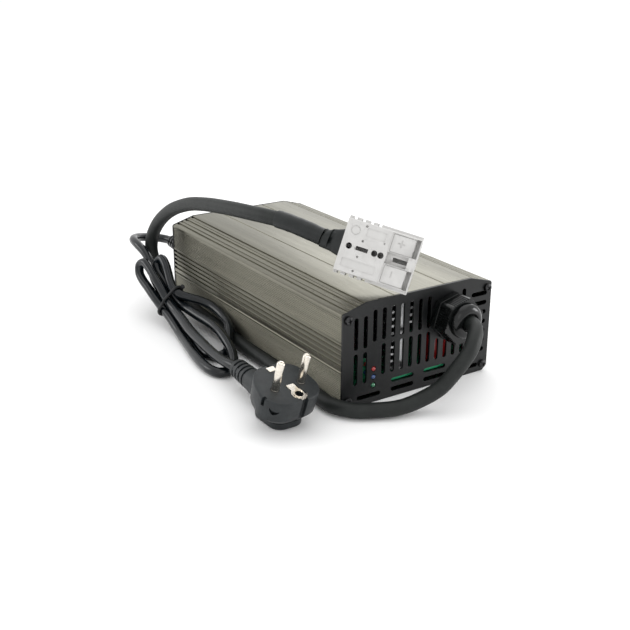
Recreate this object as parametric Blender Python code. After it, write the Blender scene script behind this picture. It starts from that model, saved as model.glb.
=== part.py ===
"""Battery charger: a ribbed aluminium case with vented end panels, an output cable
with a two-pole power connector, and a mains cord with a two-pin earthed plug.

Metres, +Z up. The origin is at the centre of the case's footprint, on the surface
that the case stands on. The case is long in Y, and its front panel faces -Y.
"""

import math

import bmesh
import bpy
from mathutils import Matrix, Vector

# Clearance between pieces that touch, and clearance round a shank in its hole.
GAP = 0.0003

# Case: two extruded shells that meet in a seam on each side.
CASE_WIDTH = 0.116
CASE_LENGTH = 0.225
CASE_HEIGHT = 0.0665
SHOULDER_DROP = 0.0049
SHOULDER_INSET = 0.0176
SHOULDER_CHAMFER = 0.0009
BOTTOM_CHAMFER = 0.0035
WALL = 0.0024
SEAM_HEIGHT = 0.025
SEAM_BEVEL = 0.0006
TONGUE_THICKNESS = 0.0010
TONGUE_HEIGHT = 0.0020

# Lengthwise grooves of the shells.
SIDE_GROOVES = 5
SIDE_GROOVE_PITCH = 0.0032
SIDE_GROOVE_LOWEST = 0.0292
SIDE_GROOVE_WIDTH = 0.0013
SIDE_GROOVE_DEPTH = 0.0010
SHOULDER_GROOVE_INSETS = (0.0040, 0.0105, 0.0158)
SHOULDER_GROOVE_WIDTH = 0.0016
SHOULDER_GROOVE_DEPTH = 0.0011
TOP_GROOVE = 0.0195
TOP_GROOVE_WIDTH = 0.0009
TOP_GROOVE_DEPTH = 0.0005
GROOVE_FLOOR_SHARE = 0.6

# Screw channels in the shells' corners, and the panel screws that go into them.
BOSS_RADIUS = 0.0034
UPPER_BOSS_INSET = 0.0038
UPPER_BOSS_DROP = 0.0087
LOWER_BOSS_INSET = 0.0042
LOWER_BOSS_HEIGHT = 0.0050
SCREW_SHANK = 0.00145
SCREW_HEAD = 0.0027
SCREW_HEAD_EDGE = 0.0009
SCREW_CROWN = 0.0016
SCREW_HEAD_HEIGHT = 0.0018
SCREW_LENGTH = 0.010

# End panels, punched from sheet.
PANEL = 0.0015
SLOT_WIDTH = 0.0029
SLOT_WEB = 0.0005
COLUMNS = 13
COLUMNS_LEFT_MARGIN = 0.0098
COLUMNS_RIGHT_MARGIN = 0.02304
COLUMNS_BOTTOM = 0.0170
COLUMNS_TOP_MARGIN = 0.0058
COLUMNS_BRIDGE = 0.0026
BELOW_GLAND = 0.0151
DROPPED_COLUMNS = 2
COLUMN_DROP = 0.0028
SIDE_SLOTS = 7
SIDE_SLOT_INSETS = (0.0166, 0.0037)
SIDE_SLOT_LOWEST = 0.0158
SIDE_SLOT_TOP_MARGIN = 0.01188
BOTTOM_SLOT_Z = 0.0052
BOTTOM_SLOT_INSETS = (0.0111, 0.0080)
BOTTOM_SLOT_WEBS = (0.0082, 0.0080, 0.0098)
SECOND_SLOT_Z = 0.0112

# Indicator lamps and the small board that carries them.
LAMP_TO_SINK = 0.0217
LAMP_RADIUS = 0.0015
LAMP_FLANGE = 0.0019
LAMP_FLANGE_THICKNESS = 0.0010
LAMP_PROUD = 0.0008
LAMP_BODY = 0.0053
LAMPS = (("led_red", 0.0222), ("led_blue", 0.0169), ("led_green", 0.0114))
LED_BOARD_OFFSET = 0.0075
LED_BOARD_WIDTH = 0.010
LED_BOARD_THICKNESS = 0.0012
LED_BOARD_Z = (0.0086, 0.0260)

# Main circuit board, held between rails of the lower shell.
RAIL_DEPTH = 0.0025
RAIL_LOW = 0.0095
RAIL_HIGH = 0.0119
RAIL_THICKNESS = 0.0010
BOARD_THICKNESS = 0.0016
BOARD_SIDE_CLEARANCE = 0.0004
BOARD_FRONT_OFFSET = 0.0090
BOARD_FAN_CLEARANCE = 0.0045

# Cable gland of the output cable, on the front panel.
GLAND_INSET = 0.0348
GLAND_DROP = 0.0199
GLAND_FLATS = 0.022
GLAND_TURN = math.radians(13.1)
GLAND_FLANGE = 0.0050
GLAND_SHANK = 0.0093
GLAND_SHANK_LENGTH = 0.0090
GLAND_THREAD = 0.0086
GLAND_THREAD_LENGTH = 0.0070
GLAND_BORE = 0.0055
LOCKNUT_FLATS = 0.024
LOCKNUT_THICKNESS = 0.0045
DOME_NUT_LENGTH = 0.0144
DOME_HEX_LENGTH = 0.0080
GLAND_BEVEL = 0.0006
DOME_MOUTH = 0.0074
DOME_LIP = 0.0008
DOME_SHRINK = 0.0004
DOME_STEP = 22
DOME_CAVITY_DEPTH = 0.0089
SEAL_LENGTH = 0.0064
SEAL_EDGE = 0.0005

# Output cable, its heat-shrink sleeve and the two wires to the connector.
CABLE_DIAMETER = 0.0096
CABLE_INSIDE = 0.0135
CABLE_STRAIGHT = 0.0020
SLEEVE_LENGTH = 0.031
SLEEVE_THICKNESS = 0.0004
WIRE_DIAMETER = 0.0058
WIRE_STRAIGHT = 0.0030
WIRE_LEAD_IN = 0.0020
CABLE_ROUTE_MM = (
    (20.6, -140.0, 45.6), (14.8, -146.0, 42.6), (7.9, -149.9, 37.0), (-2.4, -149.9, 26.9),
    (-10.0, -145.9, 16.4), (-20.8, -140.8, 9.4), (-33.2, -137.1, 6.1), (-47.5, -130.3, 5.2),
    (-58.0, -123.0, 5.1), (-64.0, -112.0, 5.1), (-64.3, -96.5, 5.1), (-63.9, -72.5, 5.1),
    (-63.8, -42.5, 5.1), (-63.8, -12.5, 5.2), (-63.9, 15.5, 6.2), (-64.4, 37.5, 7.8),
    (-65.4, 57.5, 9.5), (-66.8, 75.5, 12.0), (-68.6, 92.5, 16.2), (-70.2, 106.5, 22.5),
    (-71.2, 117.0, 31.0), (-71.4, 122.5, 41.5), (-70.6, 121.6, 51.8), (-70.1, 111.5, 64.6),
    (-70.0, 89.5, 79.4), (-70.0, 60.0, 91.0), (-70.0, 34.1, 96.9), (-69.9, 11.1, 100.5),
    (-69.4, -7.9, 102.9), (-68.0, -24.8, 104.4), (-65.3, -38.7, 105.1), (-61.5, -50.1, 104.9),
    (-57.0, -59.2, 103.2), (-52.3, -66.6, 100.8), (-47.0, -73.6, 97.8),
)

# Two-pole power connector. Its frame has u towards the mating end, v across and w up.
CONNECTOR_X = -0.0290
CONNECTOR_SETBACK = 0.0067
CONNECTOR_ABOVE_CASE = 0.0256
CONNECTOR_UP = (-0.6301, -0.7119, 0.3102)
CONNECTOR_ALONG = (0.6706, -0.7002, -0.2449)
CONNECTOR_LENGTH = 0.0457
CONNECTOR_FACE_WIDTH = 0.0323
CONNECTOR_WIDTH = 0.0355
CONNECTOR_THICKNESS = 0.0152
CONNECTOR_EDGE = 0.0005
CONNECTOR_RIDGE = (0.0034, 0.0118)
CONNECTOR_NOTCHES = 4
CONNECTOR_NOTCH_PITCH = 0.0051
CONNECTOR_NOTCH_FIRST = -0.0205
CONNECTOR_NOTCH = 0.0022
CONNECTOR_STEP = 0.0050
CONNECTOR_LIP = 0.0006
POLE_SPACING = 0.0190
PAD_WIDTH = 0.0120
PAD_FRONT = 0.0195
PAD_DROP = 0.0005
PAD_GROOVE = 0.0005
BAY_DEPTH = 0.0058
CHANNEL_DEPTH = 0.0036
BRIDGE_START = 0.0181
WINDOW_U = (0.0090, 0.0178)
WINDOW_HALF = 0.0013
WINDOW_BOTTOM = 0.0114
KEY_HOLES_U = (-0.0181, -0.0023, 0.0016)
KEY_HOLE = 0.0018
KEY_SLOT_U = (-0.0139, -0.0063)
KEY_SLOT_HALF = 0.0011
KEY_DEPTH = 0.0045
WIRE_SPACING = 0.0080
WIRE_DEPTH = 0.0070
CONTACT_WIDTH = 0.0090
CONTACT_THICKNESS = 0.0024
CONTACT_LENGTH = 0.0195
CONTACT_SETBACK = 0.0035
CONTACT_TIP = 0.0010
CAVITY_HEIGHT = 0.0046
CAVITY_FLOOR = 0.0022

# Mains cord: out of the rear panel, a bundle held by a tie, and a lead to the plug.
CORD_DIAMETER = 0.0066
CORD_INSET = 0.0110
CORD_DROP = 0.0260
CORD_INSIDE = 0.0095
CORD_STRAIGHT = 0.0030
RELIEF_CLEARANCE = 0.00035
RELIEF_HOLE = 0.0072
RELIEF_FLANGE = 0.0085
RELIEF_FLANGE_THICKNESS = 0.0025
RELIEF_SNAP = 0.0077
RELIEF_SNAP_THICKNESS = 0.0030
RELIEF_LENGTH = 0.022
RELIEF_ROOT = 0.0060
RELIEF_TIP = 0.0046
RELIEF_RIBS = 4
RELIEF_EDGE = 0.0005
RELIEF_GROOVE = 0.0011
RELIEF_TAPER = 0.0002
RELIEF_GROOVE_SHARE = 0.35
RELIEF_RISE_SHARE = 0.42
RELIEF_RIB_SHARE = 0.97
TAIL_ROUTE_MM = (
    (-49.4, 146.4, 41.0), (-55.5, 151.8, 41.8), (-63.8, 152.6, 43.0), (-72.0, 149.2, 44.2),
    (-79.2, 142.4, 44.8), (-83.6, 133.0, 43.8),
)
# Bundle stations: centre x, y, z and width in millimetres, and the roll of the width.
BUNDLE_STATIONS = (
    ((-85.6, 122.0, 40.5), 0.014, 66.0), ((-86.2, 117.0, 39.0), 0.020, 66.0),
    ((-86.2, 105.0, 33.0), 0.022, 64.0), ((-84.6, 90.0, 24.5), 0.020, 55.0),
    ((-82.6, 75.0, 18.6), 0.0185, 48.0), ((-81.6, 65.0, 16.4), 0.0185, 46.0),
    ((-80.2, 52.0, 14.4), 0.0240, 44.0), ((-78.6, 37.5, 13.0), 0.0290, 40.0),
    ((-80.4, 18.0, 11.7), 0.0300, 34.0), ((-83.6, 0.5, 10.4), 0.0300, 24.0),
    ((-87.0, -17.0, 8.3), 0.0270, 10.0), ((-89.2, -28.0, 7.6), 0.0230, 4.0),
    ((-90.0, -33.5, 7.4), 0.0150, 0.0),
)
BUNDLE_THICKNESS = 0.0130
BUNDLE_END_SHARE = 0.75
TIE_STATION = 4
TIE_WIDTH = 0.0045
TIE_THICKNESS = 0.0011

# Two-pin earthed plug. Its frame has w out of the face and v towards the cord's side.
PLUG_FACE = (-0.0975, -0.1150, 0.0280)
PLUG_OUT = (0.069, -0.265, 0.962)
PLUG_ACROSS = (0.991, 0.127, -0.036)
PLUG_U = (-0.021, 0.019)
PLUG_V = (-0.0150, 0.0210)
PLUG_CORNER = 0.0135
PLUG_EDGE = 0.0012
PLUG_STRAIGHT = 0.0130
PLUG_TAPER = 0.97
PLUG_WAIST = 0.55
PLUG_BACK_CENTRE = (-0.0955, -0.1005)
PLUG_BACK_HALF = (0.0105, 0.0150)
PLUG_BACK_CORNER = 0.008
PLUG_FOOT_EDGE = 0.0015
PLUG_FOOT_SHARE = 0.90
PIN_DIAMETER = 0.0048
PIN_LENGTH = 0.019
PIN_SPACING = 0.019
PIN_ROOT = 0.0030
EARTH_HOLE = 0.0026
EARTH_HOLE_V = -0.0087
EARTH_RING = 0.0049
STRIP_WIDTH = 0.0055
STRIP_THICKNESS = 0.0007
STRIP_INNER_END = 0.0045
SIDE_NOTCH_WIDTH = 0.0066
SIDE_NOTCH_DEPTH = 0.0030
SIDE_NOTCH_DROP = 0.018
CLIP_U = 0.0015
CLIP_CLEARANCE = 0.0020
BOOT_START = (-0.0961, -0.0925, 0.0130)
BOOT_END = (-0.0932, -0.0488, 0.0130)
BOOT_RADIUS = 0.00625
BOOT_GROOVE = 0.0042
BOOT_GROOVES = 3
BOOT_GROOVE_WIDTH = 0.0030
BOOT_END_BAND = 0.0035
BOOT_EDGE = 0.0010

# Fan behind the rear panel.
FAN_X = 0.008
FAN_HEADROOM = 0.00085
FAN_DEPTH = 0.015
FAN_CORNER = 0.004
FAN_WALL = 0.0017
FAN_HOLE_INSET = 0.005
FAN_TIP_CLEARANCE = 0.001
FAN_HUB = 0.013
FAN_HUB_EDGE = 0.0012
FAN_HUB_DEPTH = 0.011
FAN_CARRIER = 0.012
FAN_CARRIER_THICKNESS = 0.003
FAN_SHAFT = 0.0015
FAN_SHAFT_LENGTH = 0.0025
FAN_BLADES = 7
BLADE_CHORD = 0.0150
BLADE_THICKNESS = 0.0012
BLADE_CAMBER = 0.0016
BLADE_PITCHES = (42, 35, 28)
BLADE_SWEEPS = (0.0, 0.10, 0.22)
STRUT_WIDTH = 0.003
STRUT_INSET = 0.0004
STRUT_ROOT = 0.0015
GUARD_RINGS = 4
GUARD_FIRST = 0.008
GUARD_MARGIN = 0.0023
GUARD_SLOT = 0.0032
GUARD_BRIDGE = 0.0034

# Parts on the main board, placed from the front panel, the rear or the side wall.
SINK_SPINE_X = -0.0129
SINK_SPINE = 0.0026
SINK_HEADROOM = 0.0055
SINK_FIN_DROP = 0.0027
SINK_FIN_PITCH = 0.00465
SINK_FIN = 0.0016
SINK_FIN_REACH = 0.0084
SINK_FOOT = 0.0020
SINK_OFFSET = 0.0040
SINK_LENGTH = 0.045
BLUE_CAPACITOR_X = -0.0066
BLUE_CAPACITOR_OFFSET = 0.0155
BLUE_CAPACITOR_RADIUS = 0.0040
BLUE_CAPACITOR_TOP = 0.037
BLUE_CAPACITOR_HEADROOM = 0.003
RED_CAPACITOR_X = (0.0055, 0.0245)
RED_CAPACITOR_OFFSET = 0.0120
RED_CAPACITOR_DEPTH = 0.010
RED_CAPACITOR_TOP = 0.031
RED_CAPACITOR_CORNER = 0.0008
MAINS_SINK_INSET = 0.0116
MAINS_SINK_FRONT = 0.0725
MAINS_SINK_REAR = 0.0525
MAINS_SINK_DROP = 0.0145
MAINS_SINK_PLATE = 0.0030
MAINS_SINK_FINS = 5
MAINS_SINK_FIN = 0.0016
MAINS_SINK_REACH = 0.0055
TRANSFORMER_X = 0.008
TRANSFORMER_FRONT = 0.1005
CORE_WIDTH = 0.036
CORE_HEIGHT = 0.034
CORE_DEPTH = 0.012
CORE_LEG = 0.0050
CORE_YOKE = 0.0060
WINDING_WALL = 0.0072
WINDING_HOLE_CORNER = 0.0010
WINDING_CORNER = 0.0060
MAINS_CAPACITOR_INSET = 0.0256
MAINS_CAPACITOR_REAR = 0.0925
MAINS_CAPACITOR_RADIUS = 0.011
MAINS_CAPACITOR_HEADROOM = 0.0098
CAN_GROOVE_HEIGHT = 0.0030
CAN_GROOVE = 0.0006
CAN_EDGE = 0.0008
CAN_RIM = 0.0018
CAN_RECESS = 0.0003
CHOKE_X = 0.012
CHOKE_REAR = 0.0505
CHOKE_RADIUS = 0.0105
CHOKE_WIRE = 0.0045
FUSE_INSET = 0.0196
FUSE_REAR = 0.0465
FUSE_HEIGHT = 0.0040
FUSE_RADIUS = 0.0025
FUSE_TUBE = 0.0023
FUSE_LENGTH = 0.020
FUSE_CAP = 0.0050
FUSE_LEG = 0.0016
FUSE_LEG_WIDTH = 0.0030

# Derived places. The front panel's outer face is FRONT, and the rear panel's is REAR.
FRONT = -CASE_LENGTH / 2
REAR = CASE_LENGTH / 2
PANEL_BACK = FRONT + PANEL
SHELL_FRONT = PANEL_BACK + GAP
SHELL_REAR = REAR - PANEL - GAP
HALF_WIDTH = CASE_WIDTH / 2
INNER_X = HALF_WIDTH - WALL
UPPER_BOSS = (HALF_WIDTH - UPPER_BOSS_INSET, CASE_HEIGHT - UPPER_BOSS_DROP)
LOWER_BOSS = (HALF_WIDTH - LOWER_BOSS_INSET, LOWER_BOSS_HEIGHT)
SCREW_HOLE = SCREW_SHANK + GAP
GLAND_X = HALF_WIDTH - GLAND_INSET
GLAND_Z = CASE_HEIGHT - GLAND_DROP
LAMP_X = SINK_SPINE_X - LAMP_TO_SINK
CORD_X = CORD_INSET - HALF_WIDTH
CORD_Z = CASE_HEIGHT - CORD_DROP
CONNECTOR_CENTRE = (CONNECTOR_X, FRONT + CONNECTOR_SETBACK, CASE_HEIGHT + CONNECTOR_ABOVE_CASE)
FAN_SIZE = CASE_HEIGHT - (WALL + FAN_HEADROOM) * 2
FAN_Z = CASE_HEIGHT / 2
FAN_BORE = FAN_SIZE / 2 - FAN_WALL
FAN_TIP = FAN_BORE - FAN_TIP_CLEARANCE
FAN_BACK = SHELL_REAR
FAN_FRONT = FAN_BACK - FAN_DEPTH
BOARD_TOP = RAIL_LOW + GAP + BOARD_THICKNESS
PART_BASE = BOARD_TOP + GAP

ROUND = 12
MM = 0.001
UPRIGHT = Matrix.Identity(4)
# Sections drawn in x and z, run along y.
ALONG_Y = Matrix(((1, 0, 0, 0), (0, 0, 1, 0), (0, 1, 0, 0), (0, 0, 0, 1)))


def frame_at(origin, forward, across):
    """A frame with its third axis forward and its first axis nearest to across."""
    w = Vector(forward).normalized()
    v = w.cross(Vector(across)).normalized()
    u = v.cross(w)
    frame = Matrix((u, v, w)).transposed().to_4x4()
    frame.translation = origin
    return frame


def finish(name, colour, roughness, metallic=0.0):
    material = bpy.data.materials.new(name)
    material.use_nodes = True
    shader = material.node_tree.nodes["Principled BSDF"]
    shader.inputs["Base Color"].default_value = (*colour, 1.0)
    shader.inputs["Roughness"].default_value = roughness
    shader.inputs["Metallic"].default_value = metallic
    material.diffuse_color = (*colour, 1.0)
    return material


def mesh_object(name, bm, smooth=True):
    bmesh.ops.recalc_face_normals(bm, faces=bm.faces)
    mesh = bpy.data.meshes.new(name)
    bm.to_mesh(mesh)
    bm.free()
    if smooth:
        mesh.shade_smooth()
        mesh.set_sharp_from_angle(angle=math.radians(35))
    obj = bpy.data.objects.new(name, mesh)
    bpy.context.scene.collection.objects.link(obj)
    return obj


def piece(name, bm, material, smooth=True):
    obj = mesh_object(name, bm, smooth)
    obj.data.materials.append(material)
    return obj


def combine(obj, bm, what, operation="DIFFERENCE"):
    """Cuts the shape out of the object, or joins it to the object, and returns it."""
    tool = mesh_object(f"{obj.name}_{what}", bm)
    tool.hide_render = True
    tool.display_type = "WIRE"
    modifier = obj.modifiers.new(what.title(), "BOOLEAN")
    modifier.operation = operation
    modifier.object = tool
    return tool


def add_prism(bm, loops, frame, low, high):
    """A flat outline, with any further loops as holes, run from low to high."""
    lift = frame.to_3x3() @ Vector((0, 0, high - low))
    base = []
    edges = []
    for loop in loops:
        ring = [bm.verts.new(frame @ Vector((u, v, low))) for u, v in loop]
        edges += [bm.edges.new((ring[i - 1], ring[i])) for i in range(len(ring))]
        base += ring
    filled = bmesh.ops.triangle_fill(bm, edges=edges, use_beauty=True, use_dissolve=False)
    faces = [item for item in filled["geom"] if isinstance(item, bmesh.types.BMFace)]
    top = {vert: bm.verts.new(vert.co + lift) for vert in base}
    for face in faces:
        bm.faces.new([top[vert] for vert in reversed(face.verts)])
    for edge in edges:
        first, second = edge.verts
        bm.faces.new((first, second, top[second], top[first]))


def hexagon_reach(angle, flats):
    """Distance from a hexagon's centre to its side, with a corner at angle zero."""
    sixth = math.pi / 3
    return flats / 2 / math.cos(angle % sixth - sixth / 2)


def add_turned(bm, profile, frame, steps, ring=False):
    """Turns a profile of radius, height and, for a hexagon, width across flats.

    A ring's profile closes on itself, and any other begins and ends on the axis.
    """
    rows = []
    for radius, height, *flats in profile:
        if radius == 0:
            rows.append([bm.verts.new(frame @ Vector((0, 0, height)))] * steps)
            continue
        row = []
        for step in range(steps):
            angle = 2 * math.pi * step / steps
            reach = min([radius] + [hexagon_reach(angle, size) for size in flats])
            point = Vector((reach * math.cos(angle), reach * math.sin(angle), height))
            row.append(bm.verts.new(frame @ point))
        rows.append(row)
    following = rows[1:] + rows[:1] if ring else rows[1:]
    for lower, upper in zip(rows, following):
        for step in range(steps):
            after = (step + 1) % steps
            corners = (lower[step], lower[after], upper[after], upper[step])
            corners = list(dict.fromkeys(corners))
            if len(corners) > 2:
                bm.faces.new(corners)


def add_loft(bm, rings):
    """A closed solid through rings that have the same number of points."""
    rows = [[bm.verts.new(point) for point in ring] for ring in rings]
    for lower, upper in zip(rows, rows[1:]):
        for i in range(len(lower)):
            bm.faces.new((lower[i - 1], lower[i], upper[i], upper[i - 1]))
    bm.faces.new(rows[0])
    bm.faces.new(rows[-1])


def add_box(bm, frame, low, high):
    outline = [(low[0], low[1]), (high[0], low[1]), (high[0], high[1]), (low[0], high[1])]
    add_prism(bm, [outline], frame, low[2], high[2])


def circle(u, v, radius, steps=ROUND, turn=0.0):
    angles = [turn + 2 * math.pi * step / steps for step in range(steps)]
    return [(u + radius * math.cos(a), v + radius * math.sin(a)) for a in angles]


def arc(u, v, radius, start, end, steps):
    angles = [start + (end - start) * step / steps for step in range(steps + 1)]
    return [(u + radius * math.cos(a), v + radius * math.sin(a)) for a in angles]


def rounded_rectangle(u, v, corner, steps=3):
    """A rectangle from its ranges in u and v, with round corners."""
    centres = (
        (u[1] - corner, v[1] - corner), (u[0] + corner, v[1] - corner),
        (u[0] + corner, v[0] + corner), (u[1] - corner, v[0] + corner),
    )
    points = []
    for quarter, (cu, cv) in enumerate(centres):
        start = quarter * math.pi / 2
        points += arc(cu, cv, corner, start, start + math.pi / 2, steps)
    return points


def slot_outline(start, end, width, steps=3):
    """A slot with round ends between two end points that lie on its centre line."""
    (u0, v0), (u1, v1) = start, end
    aim = math.atan2(v1 - v0, u1 - u0)
    radius = width / 2
    quarter = math.pi / 2
    ends = arc(u1, v1, radius, aim - quarter, aim + quarter, steps)
    return ends + arc(u0, v0, radius, aim + quarter, aim + 3 * quarter, steps)


def upright_slot(x, low, high):
    reach = SLOT_WIDTH / 2
    return slot_outline((x, low + reach), (x, high - reach), SLOT_WIDTH)


def level_slot(left, right, z):
    reach = SLOT_WIDTH / 2
    return slot_outline((left + reach, z), (right - reach, z), SLOT_WIDTH)


def mirrored(points):
    return [(-x, z) for x, z in reversed(points)]


def chamfered(before, corner, after, distance):
    """The two points that replace a corner cut off at a distance along its sides."""
    corner = Vector(corner)
    back = (Vector(before) - corner).normalized() * distance
    ahead = (Vector(after) - corner).normalized() * distance
    return [tuple(corner + back), tuple(corner + ahead)]


def inset(loop, distance):
    """A counterclockwise loop with each of its sides moved inwards."""
    result = []
    for i, corner in enumerate(loop):
        into = (Vector(corner) - Vector(loop[i - 1])).normalized()
        out = (Vector(loop[(i + 1) % len(loop)]) - Vector(corner)).normalized()
        first = Vector((-into.y, into.x))
        second = Vector((-out.y, out.x))
        moved = Vector(corner) + (first + second) * distance / (1 + first.dot(second))
        result.append(tuple(moved))
    return result


def grooved(start, end, centres, width, depth):
    """Groove points along a straight side, at distances from its start."""
    start = Vector(start)
    along = (Vector(end) - start).normalized()
    inwards = Vector((-along.y, along.x))
    points = []
    mouth = width / 2
    floor = mouth * GROOVE_FLOOR_SHARE
    for centre in centres:
        for offset, drop in ((-mouth, 0), (-floor, depth), (floor, depth), (mouth, 0)):
            points.append(tuple(start + along * (centre + offset) + inwards * drop))
    return points


def boss_arc(centre, entry, leave, steps=5):
    """The boss's round, walked clockwise between two angles in degrees."""
    start = math.radians(entry)
    end = math.radians(leave)
    return arc(centre[0], centre[1], BOSS_RADIUS, start, end, steps)


def main_corners():
    """Right half of the case's section, from the floor to the flat top."""
    return [
        (HALF_WIDTH - BOTTOM_CHAMFER, 0.0), (HALF_WIDTH, BOTTOM_CHAMFER),
        (HALF_WIDTH, CASE_HEIGHT - SHOULDER_DROP), (HALF_WIDTH - SHOULDER_INSET, CASE_HEIGHT),
    ]


def panel_outline():
    bottom, side, shoulder, top = main_corners()
    right = [bottom, side] + chamfered(side, shoulder, top, SHOULDER_CHAMFER) + [top]
    return right + mirrored(right)


def inner_corners():
    right = main_corners()
    return inset(right + mirrored(right), WALL)[:4]


def boss_on_wall(centre, start, end):
    """Angles, in degrees, at which the boss's circle crosses a straight wall."""
    start = Vector(start)
    along = (Vector(end) - start).normalized()
    foot = start + along * (Vector(centre) - start).dot(along)
    half = math.sqrt(BOSS_RADIUS ** 2 - (foot - Vector(centre)).length_squared)
    angles = []
    for side in (-half, half):
        point = foot + along * side - Vector(centre)
        angles.append(math.degrees(math.atan2(point.y, point.x)) % 360)
    return angles


def upper_shell_loops():
    side, shoulder, top = main_corners()[1:]
    cut_low, cut_high = chamfered(side, shoulder, top, SHOULDER_CHAMFER)
    seam = SEAM_HEIGHT + GAP / 2
    base = (HALF_WIDTH, seam + SEAM_BEVEL)
    levels = [SIDE_GROOVE_LOWEST + SIDE_GROOVE_PITCH * i - base[1] for i in range(SIDE_GROOVES)]
    outer = [(HALF_WIDTH - SEAM_BEVEL, seam), base]
    outer += grooved(base, cut_low, levels, SIDE_GROOVE_WIDTH, SIDE_GROOVE_DEPTH)
    outer += [cut_low, cut_high]
    slope = (Vector(top) - Vector(shoulder)).length / (shoulder[0] - top[0])
    marks = [(cut_high[0] - HALF_WIDTH + away) * slope for away in SHOULDER_GROOVE_INSETS]
    outer += grooved(cut_high, top, marks, SHOULDER_GROOVE_WIDTH, SHOULDER_GROOVE_DEPTH)
    outer += [top]
    middle = (0, CASE_HEIGHT)
    outer += grooved(top, middle, [top[0] - TOP_GROOVE], TOP_GROOVE_WIDTH, TOP_GROOVE_DEPTH)

    inner = inner_corners()
    slope_angles = boss_on_wall(UPPER_BOSS, inner[2], inner[3])
    side_angles = boss_on_wall(UPPER_BOSS, inner[1], inner[2])
    tongue = seam - TONGUE_HEIGHT
    down = [inner[3]] + boss_arc(UPPER_BOSS, max(slope_angles), max(side_angles))
    down += [(INNER_X, tongue), (INNER_X + TONGUE_THICKNESS, tongue)]
    down += [(INNER_X + TONGUE_THICKNESS, seam)]
    outline = outer + mirrored(outer) + mirrored(down) + down
    x, z = UPPER_BOSS
    return [outline, circle(x, z, SCREW_HOLE, 8), circle(-x, z, SCREW_HOLE, 8)]


def lower_shell_loops():
    seam = SEAM_HEIGHT - GAP / 2
    bottom, side = main_corners()[:2]
    outer = [bottom, side, (HALF_WIDTH, seam - SEAM_BEVEL), (HALF_WIDTH - SEAM_BEVEL, seam)]
    inner = inner_corners()
    ledge = seam - TONGUE_HEIGHT - GAP
    lip = INNER_X + TONGUE_THICKNESS + GAP
    rail = INNER_X - RAIL_DEPTH
    down = [(lip, seam), (lip, ledge), (INNER_X, ledge)]
    down += [(INNER_X, RAIL_HIGH + RAIL_THICKNESS), (rail, RAIL_HIGH + RAIL_THICKNESS)]
    down += [(rail, RAIL_HIGH), (INNER_X, RAIL_HIGH), (INNER_X, RAIL_LOW), (rail, RAIL_LOW)]
    on_rail = math.degrees(math.acos((rail - LOWER_BOSS[0]) / BOSS_RADIUS))
    on_floor = min(boss_on_wall(LOWER_BOSS, (0, inner[0][1]), inner[0]))
    down += boss_arc(LOWER_BOSS, on_rail, on_floor)
    outline = outer + down + mirrored(down) + mirrored(outer)
    x, z = LOWER_BOSS
    return [outline, circle(x, z, SCREW_HOLE, 8), circle(-x, z, SCREW_HOLE, 8)]


def screw_places():
    return [(sign * x, z) for x, z in (UPPER_BOSS, LOWER_BOSS) for sign in (-1, 1)]


def bottom_slots():
    """Ranges in x of the level slots along the panel's foot."""
    left, right = BOTTOM_SLOT_INSETS
    length = (CASE_WIDTH - left - right - sum(BOTTOM_SLOT_WEBS)) / (len(BOTTOM_SLOT_WEBS) + 1)
    start = left - HALF_WIDTH
    ranges = []
    for web in (*BOTTOM_SLOT_WEBS, 0.0):
        ranges.append((start, start + length))
        start += length + web
    return ranges


def front_slots():
    """Two rows of upright slots, cleared round the gland and lamps, and the level slots."""
    span = CASE_WIDTH - COLUMNS_LEFT_MARGIN - COLUMNS_RIGHT_MARGIN
    row = (CASE_HEIGHT - COLUMNS_TOP_MARGIN - COLUMNS_BOTTOM - COLUMNS_BRIDGE) / 2
    low_top = COLUMNS_BOTTOM + row
    high_bottom = low_top + COLUMNS_BRIDGE
    slot_reach = SLOT_WIDTH / 2 + SLOT_WEB + GAP
    loops = []
    for i in range(COLUMNS):
        x = COLUMNS_LEFT_MARGIN - HALF_WIDTH + span * i / (COLUMNS - 1)
        drop = COLUMN_DROP if i < DROPPED_COLUMNS else 0.0
        at_gland = abs(x - GLAND_X) < GLAND_SHANK + slot_reach
        if not at_gland:
            loops.append(upright_slot(x, high_bottom - drop, high_bottom + row - drop))
        if abs(x - LAMP_X) > LAMP_RADIUS + slot_reach:
            top = min(low_top, GLAND_Z - BELOW_GLAND) if at_gland else low_top
            loops.append(upright_slot(x, COLUMNS_BOTTOM - drop, top - drop))
    left, right = (HALF_WIDTH - away for away in SIDE_SLOT_INSETS)
    pitch = (CASE_HEIGHT - SIDE_SLOT_TOP_MARGIN - SIDE_SLOT_LOWEST) / (SIDE_SLOTS - 1)
    for i in range(SIDE_SLOTS):
        loops.append(level_slot(left, right, SIDE_SLOT_LOWEST + pitch * i))
    foot = bottom_slots()
    loops += [level_slot(*ends, BOTTOM_SLOT_Z) for ends in foot]
    loops += [level_slot(*ends, SECOND_SLOT_Z) for ends in foot[1:-1]]
    return loops


def guard_slots():
    """Rings of bent slots over the fan, each cut into four by its bridges."""
    loops = []
    half = GUARD_SLOT / 2
    pitch = (FAN_BORE - GUARD_MARGIN - GUARD_FIRST) / (GUARD_RINGS - 1)
    for ring in range(GUARD_RINGS):
        radius = GUARD_FIRST + pitch * ring
        bridge = (GUARD_BRIDGE / 2 + half) / radius
        for quarter in range(4):
            start = quarter * math.pi / 2 + bridge
            end = (quarter + 1) * math.pi / 2 - bridge
            steps = 2 + (ring + 1) // 2
            outer = arc(FAN_X, FAN_Z, radius + half, start, end, steps)
            inner = arc(FAN_X, FAN_Z, radius - half, end, start, steps)
            for side, angle in ((outer, end), (inner, start)):
                tip = half / radius
                sign = 1 if side is outer else -1
                side.append((
                    FAN_X + radius * math.cos(angle + sign * tip),
                    FAN_Z + radius * math.sin(angle + sign * tip),
                ))
            loops.append(outer + inner)
    return loops


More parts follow.
